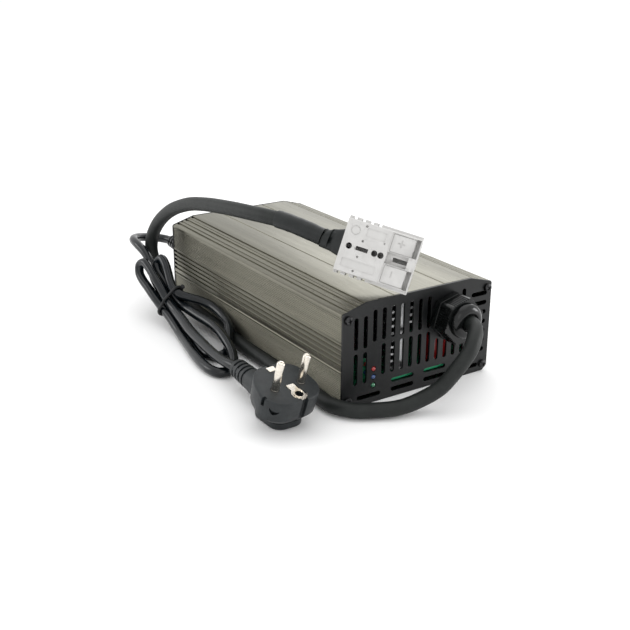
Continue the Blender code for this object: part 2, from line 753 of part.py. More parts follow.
def fan_hole_places():
    reach = FAN_SIZE / 2 - FAN_HOLE_INSET
    return [(FAN_X + i * reach, FAN_Z + j * reach) for i in (-1, 1) for j in (-1, 1)]


def build_case(metal, black, screw_steel):
    bm = bmesh.new()
    add_prism(bm, upper_shell_loops(), ALONG_Y, SHELL_FRONT, SHELL_REAR)
    piece("upper_shell", bm, metal, smooth=False)
    bm = bmesh.new()
    add_prism(bm, lower_shell_loops(), ALONG_Y, SHELL_FRONT, SHELL_REAR)
    piece("lower_shell", bm, metal, smooth=False)

    screw_holes = [circle(x, z, SCREW_HOLE, 8) for x, z in screw_places()]
    lamp_holes = [circle(LAMP_X, z, LAMP_RADIUS + GAP, 10) for name, z in LAMPS]
    gland_hole = [circle(GLAND_X, GLAND_Z, GLAND_SHANK + GAP, 18)]
    bm = bmesh.new()
    front = [panel_outline()] + front_slots() + screw_holes + lamp_holes + gland_hole
    add_prism(bm, front, ALONG_Y, FRONT, PANEL_BACK)
    piece("front_panel", bm, black, smooth=False)

    fan_holes = [circle(x, z, SCREW_HOLE, 8) for x, z in fan_hole_places()]
    cord_hole = [circle(CORD_X, CORD_Z, RELIEF_HOLE, 16)]
    bm = bmesh.new()
    rear = [panel_outline()] + guard_slots() + screw_holes + fan_holes + cord_hole
    add_prism(bm, rear, ALONG_Y, REAR - PANEL, REAR)
    piece("rear_panel", bm, black, smooth=False)

    for index, (x, z) in enumerate(screw_places(), 1):
        pan_screw(f"panel_screw_front_{index}", (x, FRONT, z), -1, screw_steel)
        pan_screw(f"panel_screw_rear_{index}", (x, REAR, z), 1, screw_steel)
    for index, (x, z) in enumerate(fan_hole_places(), 1):
        pan_screw(f"fan_screw_{index}", (x, REAR, z), 1, screw_steel)


def pan_screw(name, seat, facing, material):
    """A pan-head screw whose head stands on the panel's outer face."""
    profile = [
        (0, -SCREW_LENGTH), (SCREW_SHANK, -SCREW_LENGTH), (SCREW_SHANK, GAP), (SCREW_HEAD, GAP),
        (SCREW_HEAD, GAP + SCREW_HEAD_EDGE),
        (SCREW_CROWN, GAP + SCREW_HEAD_HEIGHT), (0, GAP + SCREW_HEAD_HEIGHT),
    ]
    bm = bmesh.new()
    add_turned(bm, profile, frame_at(seat, (0, facing, 0), (1, 0, 0)), 8)
    piece(name, bm, material)


def build_gland(plastic, rubber):
    centre = (GLAND_X, FRONT, GLAND_Z)
    across = (math.cos(GLAND_TURN), 0, math.sin(GLAND_TURN))
    frame = frame_at(centre, (0, -1, 0), across)
    corner = GLAND_FLATS / math.sqrt(3)
    face = GAP + GLAND_FLANGE
    thread_end = face + GLAND_THREAD_LENGTH
    inner_end = -PANEL - GLAND_SHANK_LENGTH
    bevel = GLAND_BEVEL
    body = [
        (GLAND_BORE, inner_end), (GLAND_SHANK, inner_end), (GLAND_SHANK, GAP),
        (corner - bevel, GAP, GLAND_FLATS), (corner, GAP + bevel, GLAND_FLATS),
        (corner, face - bevel, GLAND_FLATS), (corner - bevel, face, GLAND_FLATS),
        (GLAND_THREAD, face), (GLAND_THREAD, thread_end), (GLAND_BORE, thread_end),
    ]
    bm = bmesh.new()
    add_turned(bm, body, frame, 18, ring=True)
    piece("gland_body", bm, plastic)

    nut_corner = LOCKNUT_FLATS / math.sqrt(3)
    nut_face = -PANEL - GAP
    nut_end = nut_face - LOCKNUT_THICKNESS
    locknut = [
        (GLAND_SHANK + GAP, nut_end), (nut_corner, nut_end, LOCKNUT_FLATS),
        (nut_corner, nut_face, LOCKNUT_FLATS), (GLAND_SHANK + GAP, nut_face),
    ]
    bm = bmesh.new()
    add_turned(bm, locknut, frame, 18, ring=True)
    piece("gland_locknut", bm, plastic)

    nut = face + GAP
    hexagon_end = nut + DOME_HEX_LENGTH
    cavity_end = nut + DOME_CAVITY_DEPTH
    dome_end = nut + DOME_NUT_LENGTH
    cavity = GLAND_THREAD + GAP
    round_radius = GLAND_FLATS / 2 - DOME_SHRINK
    lip = DOME_MOUTH + DOME_LIP
    dome_length = dome_end - hexagon_end
    nut_profile = [
        (cavity, nut), (corner - bevel, nut, GLAND_FLATS), (corner, nut + bevel, GLAND_FLATS),
        (corner, hexagon_end - bevel * 2, GLAND_FLATS),
        (corner - bevel * 2, hexagon_end, GLAND_FLATS),
    ]
    for step in range(4):
        angle = math.radians(DOME_STEP * step)
        radius = lip + (round_radius - lip) * math.cos(angle)
        nut_profile.append((radius, hexagon_end + dome_length * math.sin(angle)))
    nut_profile += [(lip - DOME_LIP / 2, dome_end), (DOME_MOUTH, dome_end - DOME_LIP / 2)]
    nut_profile += [(DOME_MOUTH, cavity_end), (cavity, cavity_end)]
    bm = bmesh.new()
    add_turned(bm, nut_profile, frame, 18, ring=True)
    piece("gland_dome_nut", bm, plastic)

    seal_start = thread_end + GAP
    seal_inner = CABLE_DIAMETER / 2 + GAP
    seal_outer = DOME_MOUTH - GAP
    seal_end = seal_start + SEAL_LENGTH
    seal = [
        (seal_inner, seal_start), (seal_outer, seal_start),
        (seal_outer, seal_end - SEAL_EDGE), (seal_outer - SEAL_EDGE, seal_end),
        (seal_inner, seal_end),
    ]
    bm = bmesh.new()
    add_turned(bm, seal, frame, 12, ring=True)
    piece("gland_seal", bm, rubber)


def build_cord_relief(rubber):
    """The bush in the rear panel and the tapered, ribbed sleeve behind it."""
    frame = frame_at((CORD_X, REAR, CORD_Z), (0, 1, 0), (1, 0, 0))
    bore = CORD_DIAMETER / 2 + RELIEF_CLEARANCE
    neck = RELIEF_HOLE - GAP
    inner = -PANEL - GAP
    start = GAP + RELIEF_FLANGE_THICKNESS
    profile = [
        (bore, inner - RELIEF_SNAP_THICKNESS), (neck - GAP, inner - RELIEF_SNAP_THICKNESS),
        (RELIEF_SNAP, inner), (neck, inner), (neck, GAP), (RELIEF_FLANGE, GAP),
        (RELIEF_FLANGE, start - RELIEF_EDGE), (RELIEF_FLANGE - RELIEF_EDGE, start),
    ]
    pitch = RELIEF_LENGTH / RELIEF_RIBS
    for rib in range(RELIEF_RIBS):
        radius = RELIEF_ROOT + (RELIEF_TIP - RELIEF_ROOT) * rib / RELIEF_RIBS
        low = start + pitch * rib
        groove = radius - RELIEF_GROOVE
        profile += [(groove, low), (groove, low + pitch * RELIEF_GROOVE_SHARE)]
        profile += [(radius, low + pitch * RELIEF_RISE_SHARE)]
        profile += [(radius - RELIEF_TAPER, low + pitch * RELIEF_RIB_SHARE)]
    profile += [(bore, start + RELIEF_LENGTH)]
    bm = bmesh.new()
    add_turned(bm, profile, frame, 9, ring=True)
    piece("cord_strain_relief", bm, rubber)


def blade_section(radius, pitch_angle, around):
    """A blade's curved section on the cylinder of one radius, about the Y axis."""
    points = []
    spans = (-0.5, 0.0, 0.5)
    half = BLADE_THICKNESS / 2
    for side, order in ((1, spans), (-1, tuple(reversed(spans)))):
        for span in order:
            camber = BLADE_CAMBER * (1 - (2 * span) ** 2)
            along = span * BLADE_CHORD
            across = side * half + camber
            tangent = along * math.cos(pitch_angle) - across * math.sin(pitch_angle)
            axial = along * math.sin(pitch_angle) + across * math.cos(pitch_angle)
            angle = around + tangent / radius
            points.append((radius * math.cos(angle), axial, radius * math.sin(angle)))
    return points


def build_fan(plastic):
    outline = rounded_rectangle(
        (FAN_X - FAN_SIZE / 2, FAN_X + FAN_SIZE / 2),
        (FAN_Z - FAN_SIZE / 2, FAN_Z + FAN_SIZE / 2), FAN_CORNER,
    )
    holes = [circle(x, z, SCREW_HOLE, 8) for x, z in fan_hole_places()]
    bore = circle(FAN_X, FAN_Z, FAN_BORE, 28)
    bm = bmesh.new()
    add_prism(bm, [outline, bore] + holes, ALONG_Y, FAN_FRONT, FAN_BACK)
    frame = piece("fan_frame", bm, plastic)
    carrier_front = FAN_BACK - FAN_CARRIER_THICKNESS
    carrier = circle(FAN_X, FAN_Z, FAN_CARRIER, 20)
    bearing = circle(FAN_X, FAN_Z, FAN_SHAFT + GAP, 8)
    bm = bmesh.new()
    add_prism(bm, [carrier, bearing], ALONG_Y, carrier_front, FAN_BACK)
    combine(frame, bm, "carrier", "UNION")
    bm = bmesh.new()
    for quarter in range(4):
        turn = math.radians(45 + 90 * quarter)
        along = Vector((math.cos(turn), math.sin(turn)))
        middle = Vector((FAN_X, FAN_Z)) + along * (FAN_CARRIER + FAN_BORE) / 2
        reach = along * ((FAN_BORE - FAN_CARRIER) / 2 + STRUT_ROOT)
        side = Vector((-along.y, along.x)) * STRUT_WIDTH / 2
        near, far = middle - reach, middle + reach
        strut = [tuple(corner) for corner in (near - side, far - side, far + side, near + side)]
        add_prism(bm, [strut], ALONG_Y, carrier_front + STRUT_INSET, FAN_BACK - STRUT_INSET)
    combine(frame, bm, "struts", "UNION")

    half = FAN_HUB_DEPTH / 2
    bm = bmesh.new()
    profile = [
        (0, -half), (FAN_HUB - FAN_HUB_EDGE, -half), (FAN_HUB, FAN_HUB_EDGE - half), (FAN_HUB, half),
        (FAN_SHAFT, half), (FAN_SHAFT, half + FAN_SHAFT_LENGTH), (0, half + FAN_SHAFT_LENGTH),
    ]
    add_turned(bm, profile, frame_at((0, 0, 0), (0, 1, 0), (1, 0, 0)), 18)
    rotor = piece("fan_rotor", bm, plastic)
    radii = (FAN_HUB - FAN_HUB_EDGE, (FAN_HUB + FAN_TIP) / 2, FAN_TIP)
    bm = bmesh.new()
    for blade in range(FAN_BLADES):
        around = 2 * math.pi * blade / FAN_BLADES
        sections = []
        for radius, pitch, sweep in zip(radii, BLADE_PITCHES, BLADE_SWEEPS):
            sections.append(blade_section(radius, math.radians(pitch), around + sweep))
        add_loft(bm, sections)
    blades = combine(rotor, bm, "blades", "UNION")
    place = (FAN_X, carrier_front - GAP - half, FAN_Z)
    rotor.location = place
    blades.location = place


def build_boards(board_green):
    half = INNER_X - BOARD_SIDE_CLEARANCE
    bottom = RAIL_LOW + GAP
    bm = bmesh.new()
    low = (-half, PANEL_BACK + BOARD_FRONT_OFFSET, bottom)
    add_box(bm, UPRIGHT, low, (half, FAN_FRONT - BOARD_FAN_CLEARANCE, BOARD_TOP))
    piece("circuit_board", bm, board_green, smooth=False)

    front = PANEL_BACK + LED_BOARD_OFFSET
    half = LED_BOARD_WIDTH / 2
    bm = bmesh.new()
    low = (LAMP_X - half, front, LED_BOARD_Z[0])
    high = (LAMP_X + half, front + LED_BOARD_THICKNESS, LED_BOARD_Z[1])
    add_box(bm, UPRIGHT, low, high)
    piece("led_board", bm, board_green, smooth=False)


def build_lamps(lamp_materials):
    """Lamps with round tips in the panel's holes, on spacers from their board."""
    board_front = PANEL_BACK + LED_BOARD_OFFSET
    depth = board_front - FRONT - GAP
    root = LAMP_BODY - LAMP_PROUD
    for (name, z), material in zip(LAMPS, lamp_materials):
        frame = frame_at((LAMP_X, FRONT, z), (0, -1, 0), (1, 0, 0))
        profile = [(0, -depth), (LAMP_RADIUS, -depth), (LAMP_RADIUS, -root - LAMP_FLANGE_THICKNESS)]
        profile += [(LAMP_FLANGE, -root - LAMP_FLANGE_THICKNESS), (LAMP_FLANGE, -root)]
        profile += [(LAMP_RADIUS, -root)]
        for step in range(3):
            angle = math.radians(30 * step)
            lift = LAMP_PROUD - LAMP_RADIUS + LAMP_RADIUS * math.sin(angle)
            profile.append((LAMP_RADIUS * math.cos(angle), lift))
        profile.append((0, LAMP_PROUD))
        bm = bmesh.new()
        add_turned(bm, profile, frame, 8)
        piece(name, bm, material)


def build_output_parts(aluminium, blue, red):
    """What stands on the board just behind the front panel's slots."""
    spine = SINK_SPINE / 2
    left = SINK_SPINE_X - spine
    right = SINK_SPINE_X + spine
    sink_top = CASE_HEIGHT - SINK_HEADROOM
    highest = sink_top - SINK_FIN_DROP
    fins = int((highest - SINK_FOOT - PART_BASE) / SINK_FIN_PITCH) + 1
    left_side = [(left, sink_top)]
    right_side = []
    for fin in range(fins):
        top = highest - SINK_FIN_PITCH * fin + SINK_FIN / 2
        low = top - SINK_FIN
        reach = SINK_SPINE_X - SINK_FIN_REACH
        left_side += [(left, top), (reach, top), (reach, low), (left, low)]
        if low > BLUE_CAPACITOR_TOP + BLUE_CAPACITOR_HEADROOM:
            reach = SINK_SPINE_X + SINK_FIN_REACH
            right_side = [(right, low), (reach, low), (reach, top), (right, top)] + right_side
    outline = left_side + [(left, PART_BASE), (right, PART_BASE)] + right_side + [(right, sink_top)]
    start = PANEL_BACK + SINK_OFFSET
    bm = bmesh.new()
    add_prism(bm, [outline], ALONG_Y, start, start + SINK_LENGTH)
    piece("heat_sink_output", bm, aluminium, smooth=False)

    centre = (BLUE_CAPACITOR_X, PANEL_BACK + BLUE_CAPACITOR_OFFSET, 0)
    capacitor("output_capacitor", centre, BLUE_CAPACITOR_RADIUS, BLUE_CAPACITOR_TOP, blue)

    front = PANEL_BACK + RED_CAPACITOR_OFFSET
    depth = (front, front + RED_CAPACITOR_DEPTH)
    outline = rounded_rectangle(RED_CAPACITOR_X, depth, RED_CAPACITOR_CORNER, 2)
    bm = bmesh.new()
    add_prism(bm, [outline], UPRIGHT, PART_BASE, RED_CAPACITOR_TOP)
    piece("film_capacitor", bm, red, smooth=False)


def capacitor(name, centre, radius, high, material):
    """A round capacitor with the rolled edge at its top and the groove at its foot."""
    groove = PART_BASE + CAN_GROOVE_HEIGHT
    recess = high - CAN_RECESS
    profile = [
        (0, PART_BASE), (radius, PART_BASE), (radius, groove - CAN_GROOVE),
        (radius - CAN_GROOVE, groove), (radius, groove + CAN_GROOVE), (radius, high - CAN_EDGE),
        (radius - CAN_EDGE, high), (radius - CAN_RIM, recess), (0, recess),
    ]
    bm = bmesh.new()
    add_turned(bm, profile, frame_at(centre, (0, 0, 1), (1, 0, 0)), 10)
    piece(name, bm, material)


def build_mains_parts(aluminium, ferrite, copper, black, glass):
    """What stands on the board further back."""
    top = CASE_HEIGHT - MAINS_SINK_DROP
    back = INNER_X - MAINS_SINK_INSET - MAINS_SINK_PLATE / 2
    root = back + MAINS_SINK_PLATE
    tip = root + MAINS_SINK_REACH
    outline = [(root, top), (back, top), (back, PART_BASE), (root, PART_BASE)]
    pitch = (top - PART_BASE) / (MAINS_SINK_FINS + 1)
    for fin in range(1, MAINS_SINK_FINS + 1):
        low = PART_BASE + pitch * fin - MAINS_SINK_FIN / 2
        high = low + MAINS_SINK_FIN
        outline += [(root, low), (tip, low), (tip, high), (root, high)]
    bm = bmesh.new()
    add_prism(bm, [outline], ALONG_Y, FRONT + MAINS_SINK_FRONT, REAR - MAINS_SINK_REAR)
    piece("heat_sink_mains", bm, aluminium, smooth=False)

    x = TRANSFORMER_X
    y = FRONT + TRANSFORMER_FRONT
    half = CORE_WIDTH / 2
    base = PART_BASE
    top = base + CORE_HEIGHT
    outline = [(x - half, base), (x + half, base), (x + half, top), (x - half, top)]
    windows = []
    for side in (-1, 1):
        near, far = x + side * CORE_LEG, x + side * (half - CORE_LEG)
        low, high = base + CORE_YOKE, top - CORE_YOKE
        windows.append([(near, low), (far, low), (far, high), (near, high)])
    bm = bmesh.new()
    add_prism(bm, [outline] + windows, ALONG_Y, y - CORE_DEPTH / 2, y + CORE_DEPTH / 2)
    piece("transformer_core", bm, ferrite, smooth=False)

    inner_x = CORE_LEG + GAP
    inner_y = CORE_DEPTH / 2 + GAP
    sides = (x - inner_x, x + inner_x), (y - inner_y, y + inner_y)
    hole = rounded_rectangle(*sides, WINDING_HOLE_CORNER, 2)
    outer_x = inner_x + WINDING_WALL
    outer_y = inner_y + WINDING_WALL
    sides = (x - outer_x, x + outer_x), (y - outer_y, y + outer_y)
    outline = rounded_rectangle(*sides, WINDING_CORNER)
    bm = bmesh.new()
    low, high = base + CORE_YOKE + GAP, top - CORE_YOKE - GAP
    add_prism(bm, [outline, hole], UPRIGHT, low, high)
    piece("transformer_winding", bm, copper)

    centre = (MAINS_CAPACITOR_INSET - INNER_X, REAR - MAINS_CAPACITOR_REAR, 0)
    high = CASE_HEIGHT - MAINS_CAPACITOR_HEADROOM
    capacitor("mains_capacitor", centre, MAINS_CAPACITOR_RADIUS, high, black)

    centre = (CHOKE_X, REAR - CHOKE_REAR, PART_BASE + CHOKE_RADIUS + CHOKE_WIRE)
    profile = circle(CHOKE_RADIUS, 0, CHOKE_WIRE, 7, math.pi / 2)
    bm = bmesh.new()
    add_turned(bm, profile, frame_at(centre, (0, 1, 0), (1, 0, 0)), 14, ring=True)
    piece("mains_choke", bm, copper)

    x = FUSE_INSET - INNER_X
    y = REAR - FUSE_REAR
    height = PART_BASE + FUSE_HEIGHT
    half = FUSE_LENGTH / 2
    cap = half - FUSE_CAP
    profile = [
        (0, -half), (FUSE_RADIUS, -half), (FUSE_RADIUS, -cap), (FUSE_TUBE, -cap),
        (FUSE_TUBE, cap), (FUSE_RADIUS, cap), (FUSE_RADIUS, half), (0, half),
    ]
    bm = bmesh.new()
    add_turned(bm, profile, frame_at((x, y, height), (0, 1, 0), (1, 0, 0)), 8)
    fuse = piece("mains_fuse", bm, glass)
    bm = bmesh.new()
    for side in (-1, 1):
        middle = y + side * (half - FUSE_CAP / 2)
        low = (x - FUSE_LEG / 2, middle - FUSE_LEG_WIDTH / 2, PART_BASE)
        add_box(bm, UPRIGHT, low, (x + FUSE_LEG / 2, middle + FUSE_LEG_WIDTH / 2, height))
    combine(fuse, bm, "legs", "UNION")


def smooth_route(points, per_span=10):
    """A centripetal curve through the route's points, as closely set points."""
    points = [Vector(point) for point in points]
    ends = [points[0] * 2 - points[1]] + points + [points[-1] * 2 - points[-2]]
    result = []
    for i in range(1, len(points)):
        p0, p1, p2, p3 = ends[i - 1:i + 3]
        t1 = math.sqrt((p1 - p0).length)
        t2 = t1 + math.sqrt((p2 - p1).length)
        t3 = t2 + math.sqrt((p3 - p2).length)
        for step in range(per_span):
            t = t1 + (t2 - t1) * step / per_span
            a1 = p0.lerp(p1, t / t1)
            a2 = p1.lerp(p2, (t - t1) / (t2 - t1))
            a3 = p2.lerp(p3, (t - t2) / (t3 - t2))
            b1 = a1.lerp(a2, t / t2)
            b2 = a2.lerp(a3, (t - t1) / (t3 - t1))
            result.append(b1.lerp(b2, (t - t1) / (t2 - t1)))
    return result + [points[-1]]


def spaced(points, spacing):
    """Points at even distances along a close-set route, its ends included."""
    reach = [0.0]
    for first, second in zip(points, points[1:]):
        reach.append(reach[-1] + (second - first).length)
    count = max(1, round(reach[-1] / spacing))
    result = []
    index = 0
    for step in range(count + 1):
        target = reach[-1] * step / count
        while index < len(points) - 2 and reach[index + 1] < target:
            index += 1
        share = (target - reach[index]) / (reach[index + 1] - reach[index])
        result.append(points[index].lerp(points[index + 1], share))
    return result


def tube(name, points, diameter, material, resolution=4):
    curve = bpy.data.curves.new(name, "CURVE")
    curve.dimensions = "3D"
    curve.bevel_depth = diameter / 2
    curve.bevel_resolution = resolution
    curve.use_fill_caps = True
    spline = curve.splines.new("POLY")
    spline.points.add(len(points) - 1)
    for target, point in zip(spline.points, points):
        target.co = (*point, 1.0)
    curve.materials.append(material)
    obj = bpy.data.objects.new(name, curve)
    bpy.context.scene.collection.objects.link(obj)


def add_hose(bm, points, start, inner, outer, steps=10):
    """A hollow sleeve that follows the points from the one numbered start."""
    across = None
    rows = []
    for i, point in enumerate(points):
        if i < start:
            continue
        along = (points[min(i + 1, len(points) - 1)] - points[max(i - 1, 0)]).normalized()
        if across is None:
            across = along.orthogonal()
        across = (across - along * across.dot(along)).normalized()
        side = along.cross(across)
        ring = []
        for radius in (outer, inner):
            turns = [2 * math.pi * step / steps for step in range(steps)]
            ring.append([
                bm.verts.new(point + (across * math.cos(a) + side * math.sin(a)) * radius) for a in turns
            ])
        rows.append(ring)
    walls = [(before[k], after[k]) for before, after in zip(rows, rows[1:]) for k in (0, 1)]
    walls += [tuple(rows[0]), tuple(rows[-1])]
    for first, second in walls:
        for i in range(steps):
            bm.faces.new((first[i - 1], first[i], second[i], second[i - 1]))


def connector_frame():
    return frame_at(CONNECTOR_CENTRE, CONNECTOR_UP, CONNECTOR_ALONG)


def build_output_cable(jacket, sleeve_plastic):
    inside = Vector((GLAND_X, FRONT + CABLE_INSIDE, GLAND_Z))
    mouth = Vector((GLAND_X, FRONT - GLAND_FLANGE - DOME_NUT_LENGTH, GLAND_Z))
    leave = [mouth, mouth - Vector((0, CABLE_STRAIGHT, 0))]
    route = smooth_route(leave + [tuple(c * MM for c in point) for point in CABLE_ROUTE_MM])
    points = [inside] + spaced(route, CABLE_DIAMETER * 1.6)
    tube("dc_cable", points, CABLE_DIAMETER, jacket, 3)

    bm = bmesh.new()
    inner = CABLE_DIAMETER / 2 + GAP
    covered = round(SLEEVE_LENGTH / (points[-1] - points[-2]).length)
    add_hose(bm, points, len(points) - 1 - covered, inner, inner + SLEEVE_THICKNESS)
    piece("dc_cable_sleeve", bm, sleeve_plastic)

    end = points[-1]
    heading = (points[-1] - points[-2]).normalized()
    connector = connector_frame()
    rear_u = -CONNECTOR_LENGTH / 2
    middle_w = -CONNECTOR_THICKNESS / 2
    across = connector.to_3x3() @ Vector((0, 1, 0))
    level = across - heading * across.dot(heading)
    along = connector.to_3x3() @ Vector((1, 0, 0))
    spread = (WIRE_DIAMETER + GAP) / 2
    for name, side in (("dc_wire_positive", 1), ("dc_wire_negative", -1)):
        leave = end + heading * GAP * 1.5 + level.normalized() * spread * side
        mouth = connector @ Vector((rear_u, side * WIRE_SPACING / 2, middle_w))
        guide = [leave, leave + heading * WIRE_STRAIGHT, mouth - along * WIRE_LEAD_IN]
        guide += [mouth + along * WIRE_DEPTH * 0.2, mouth + along * (WIRE_DEPTH - GAP)]
        route = spaced(smooth_route(guide), WIRE_DIAMETER * 0.45)
        tube(name, route, WIRE_DIAMETER, sleeve_plastic, 2)


def build_connector(grey, silver):
    """The housing, with its stepped mating half, and a flat contact in each pole."""
    frame = connector_frame()
    length = CONNECTOR_LENGTH / 2
    face = CONNECTOR_FACE_WIDTH / 2
    ridge = CONNECTOR_WIDTH / 2
    edge = CONNECTOR_EDGE
    thickness = CONNECTOR_THICKNESS
    ridge_top, ridge_foot = CONNECTOR_RIDGE
    section = [
        (face - edge, -thickness), (face, edge - thickness), (face, -ridge_foot - edge),
        (ridge, -ridge_foot), (ridge, -ridge_top), (face, edge - ridge_top),
        (face, -edge), (face - edge, 0),
    ]
    section += [(-v, w) for v, w in reversed(section)]
    across = frame @ Matrix(((0, 0, 1, 0), (1, 0, 0, 0), (0, 1, 0, 0), (0, 0, 0, 1)))
    bm = bmesh.new()
    add_prism(bm, [section], across, -length, length)
    housing = piece("connector_housing", bm, grey, smooth=False)

    # The mating half: a groove round two pads, a bay before each and a bridged channel.
    pad_low = (POLE_SPACING - PAD_WIDTH) / 2
    pad_high = (POLE_SPACING + PAD_WIDTH) / 2
    step_end = length - CONNECTOR_LIP
    above = 0.001
    bm = bmesh.new()
    add_box(bm, frame, (CONNECTOR_STEP, -pad_low, -CHANNEL_DEPTH), (BRIDGE_START, pad_low, above))
    for low, high in ((pad_low + PAD_GROOVE, pad_high), (-pad_high, -pad_low - PAD_GROOVE)):
        add_box(bm, frame, (PAD_FRONT, low, -BAY_DEPTH), (step_end, high, above))
    combine(housing, bm, "bays")
    bm = bmesh.new()
    for low, high in ((pad_low - above, pad_high), (-pad_high, above - pad_low)):
        start = CONNECTOR_STEP - PAD_GROOVE
        add_box(bm, frame, (start, low, -PAD_DROP), (PAD_FRONT + PAD_GROOVE, high, above))
    combine(housing, bm, "pads")

    # The window in the channel, the round holes and the slot of the rear half.
    bm = bmesh.new()
    low = (WINDOW_U[0], -WINDOW_HALF, -WINDOW_BOTTOM)
    add_box(bm, frame, low, (WINDOW_U[1], WINDOW_HALF, -CHANNEL_DEPTH / 2))
    for u in KEY_HOLES_U:
        add_prism(bm, [circle(u, 0, KEY_HOLE, 8)], frame, -KEY_DEPTH, above)
    low = (KEY_SLOT_U[0], -KEY_SLOT_HALF, -KEY_DEPTH)
    add_box(bm, frame, low, (KEY_SLOT_U[1], KEY_SLOT_HALF, above))
    for notch in range(CONNECTOR_NOTCHES):
        start = CONNECTOR_NOTCH_FIRST + CONNECTOR_NOTCH_PITCH * notch
        for side in (-1, 1):
            near, far = sorted((side * face, side * (ridge + above)))
            low = (start, near, -ridge_foot - edge * 2)
            add_box(bm, frame, low, (start + CONNECTOR_NOTCH, far, edge * 2 - ridge_top))
    combine(housing, bm, "openings")

    # A cavity with its contact for each pole, and a hole at the rear for its wire.
    middle = -thickness / 2
    floor = CAVITY_FLOOR - thickness
    bm = bmesh.new()
    for side in (-1, 1):
        pole = side * POLE_SPACING / 2
        half = CONTACT_WIDTH / 2 + GAP
        low = (length - CONTACT_SETBACK - CONTACT_LENGTH - GAP, pole - half, floor)
        add_box(bm, frame, low, (length + above, pole + half, floor + CAVITY_HEIGHT))
        hole = [circle(side * WIRE_SPACING / 2, middle, WIRE_DIAMETER / 2 + GAP, 10)]
        add_prism(bm, hole, across, -length - above, -length + WIRE_DEPTH)
    combine(housing, bm, "poles")

    tip = CONTACT_TIP
    end = length - CONTACT_SETBACK
    start = end - CONTACT_LENGTH
    foot = floor + GAP
    top = foot + CONTACT_THICKNESS
    section = [
        (start, foot), (end - tip * 3, foot), (end, foot + tip), (end, top - tip / 2),
        (end - tip * 2, top), (start, top),
    ]
    lengthwise = frame @ Matrix(((1, 0, 0, 0), (0, 0, 1, 0), (0, 1, 0, 0), (0, 0, 0, 1)))
    half = CONTACT_WIDTH / 2
    for name, side in (("connector_contact_positive", 1), ("connector_contact_negative", -1)):
        pole = side * POLE_SPACING / 2
        bm = bmesh.new()
        add_prism(bm, [section], lengthwise, pole - half, pole + half)
        piece(name, bm, silver, smooth=False)


def bundle_ring(index, grow=0.0, steps=3):
    """The bundle's section at one station: a slot shape, rolled about the cord's way."""
    centre, width, roll = BUNDLE_STATIONS[index]
    last = len(BUNDLE_STATIONS) - 1
    before = Vector(BUNDLE_STATIONS[max(index - 1, 0)][0])
    after = Vector(BUNDLE_STATIONS[min(index + 1, last)][0])
    along = (after - before).normalized()
    level = Vector((0, 0, 1)).cross(along).normalized()
    if level.x < 0:
        level = -level
    rise = level.cross(along)
    if rise.z < 0:
        rise = -rise
    turn = math.radians(roll)
    across = level * math.cos(turn) + rise * math.sin(turn)
    out = rise * math.cos(turn) - level * math.sin(turn)
    thickness = min(BUNDLE_THICKNESS, width * BUNDLE_END_SHARE) + grow * 2
    reach = (width + grow * 2 - thickness) / 2
    outline = slot_outline((-reach, 0), (reach, 0), thickness, steps)
    middle = Vector(centre) * MM
    return [middle + across * u + out * v for u, v in outline]


def build_mains_cord(jacket, tie_plastic):
    relief_end = REAR + GAP + RELIEF_FLANGE_THICKNESS + RELIEF_LENGTH
    levels = (REAR - CORD_INSIDE, REAR, relief_end - CORD_STRAIGHT, relief_end + CORD_STRAIGHT)
    start = [(CORD_X, y, CORD_Z) for y in levels]
    first = [Vector(station[0]) * MM for station in BUNDLE_STATIONS[:2]]
    into = (first[1] - first[0]).normalized()
    arrive = [tuple(first[0] - into * distance) for distance in (CORD_STRAIGHT, GAP)]
    route = [tuple(c * MM for c in point) for point in TAIL_ROUTE_MM]
    route = smooth_route(start + route + arrive)
    tube("mains_cord_tail", spaced(route, CORD_DIAMETER * 1.3), CORD_DIAMETER, jacket, 2)

    bm = bmesh.new()
    add_loft(bm, [bundle_ring(index) for index in range(len(BUNDLE_STATIONS))])
    piece("mains_cord_bundle", bm, jacket)

    last = [Vector(station[0]) * MM for station in BUNDLE_STATIONS[-2:]]
    out = (last[1] - last[0]).normalized()
    heading = (Vector(BOOT_END) - Vector(BOOT_START)).normalized()
    end = Vector(BOOT_END)
    leave = [last[1] + out * distance for distance in (GAP, CORD_STRAIGHT)]
    arrive = [end + heading * distance for distance in (CORD_STRAIGHT, GAP)]
    route = smooth_route(leave + arrive)
    tube("mains_cord_lead", spaced(route, CORD_DIAMETER * 0.42), CORD_DIAMETER, jacket, 2)

    inner = bundle_ring(TIE_STATION, GAP * 2)
    outer = bundle_ring(TIE_STATION, GAP * 2 + TIE_THICKNESS)
    before = Vector(BUNDLE_STATIONS[TIE_STATION - 1][0])
    after = Vector(BUNDLE_STATIONS[TIE_STATION + 1][0])
    shift = (after - before).normalized() * TIE_WIDTH / 2
    bm = bmesh.new()
    rows = []
    for loop, move in ((inner, -shift), (outer, -shift), (outer, shift), (inner, shift)):
        rows.append([bm.verts.new(point + move) for point in loop])
    for first, second in zip(rows, rows[1:] + rows[:1]):
        for i in range(len(first)):
            bm.faces.new((first[i - 1], first[i], second[i], second[i - 1]))
    piece("cord_tie", bm, tie_plastic)


def plug_frame():
    return frame_at(PLUG_FACE, PLUG_OUT, PLUG_ACROSS)


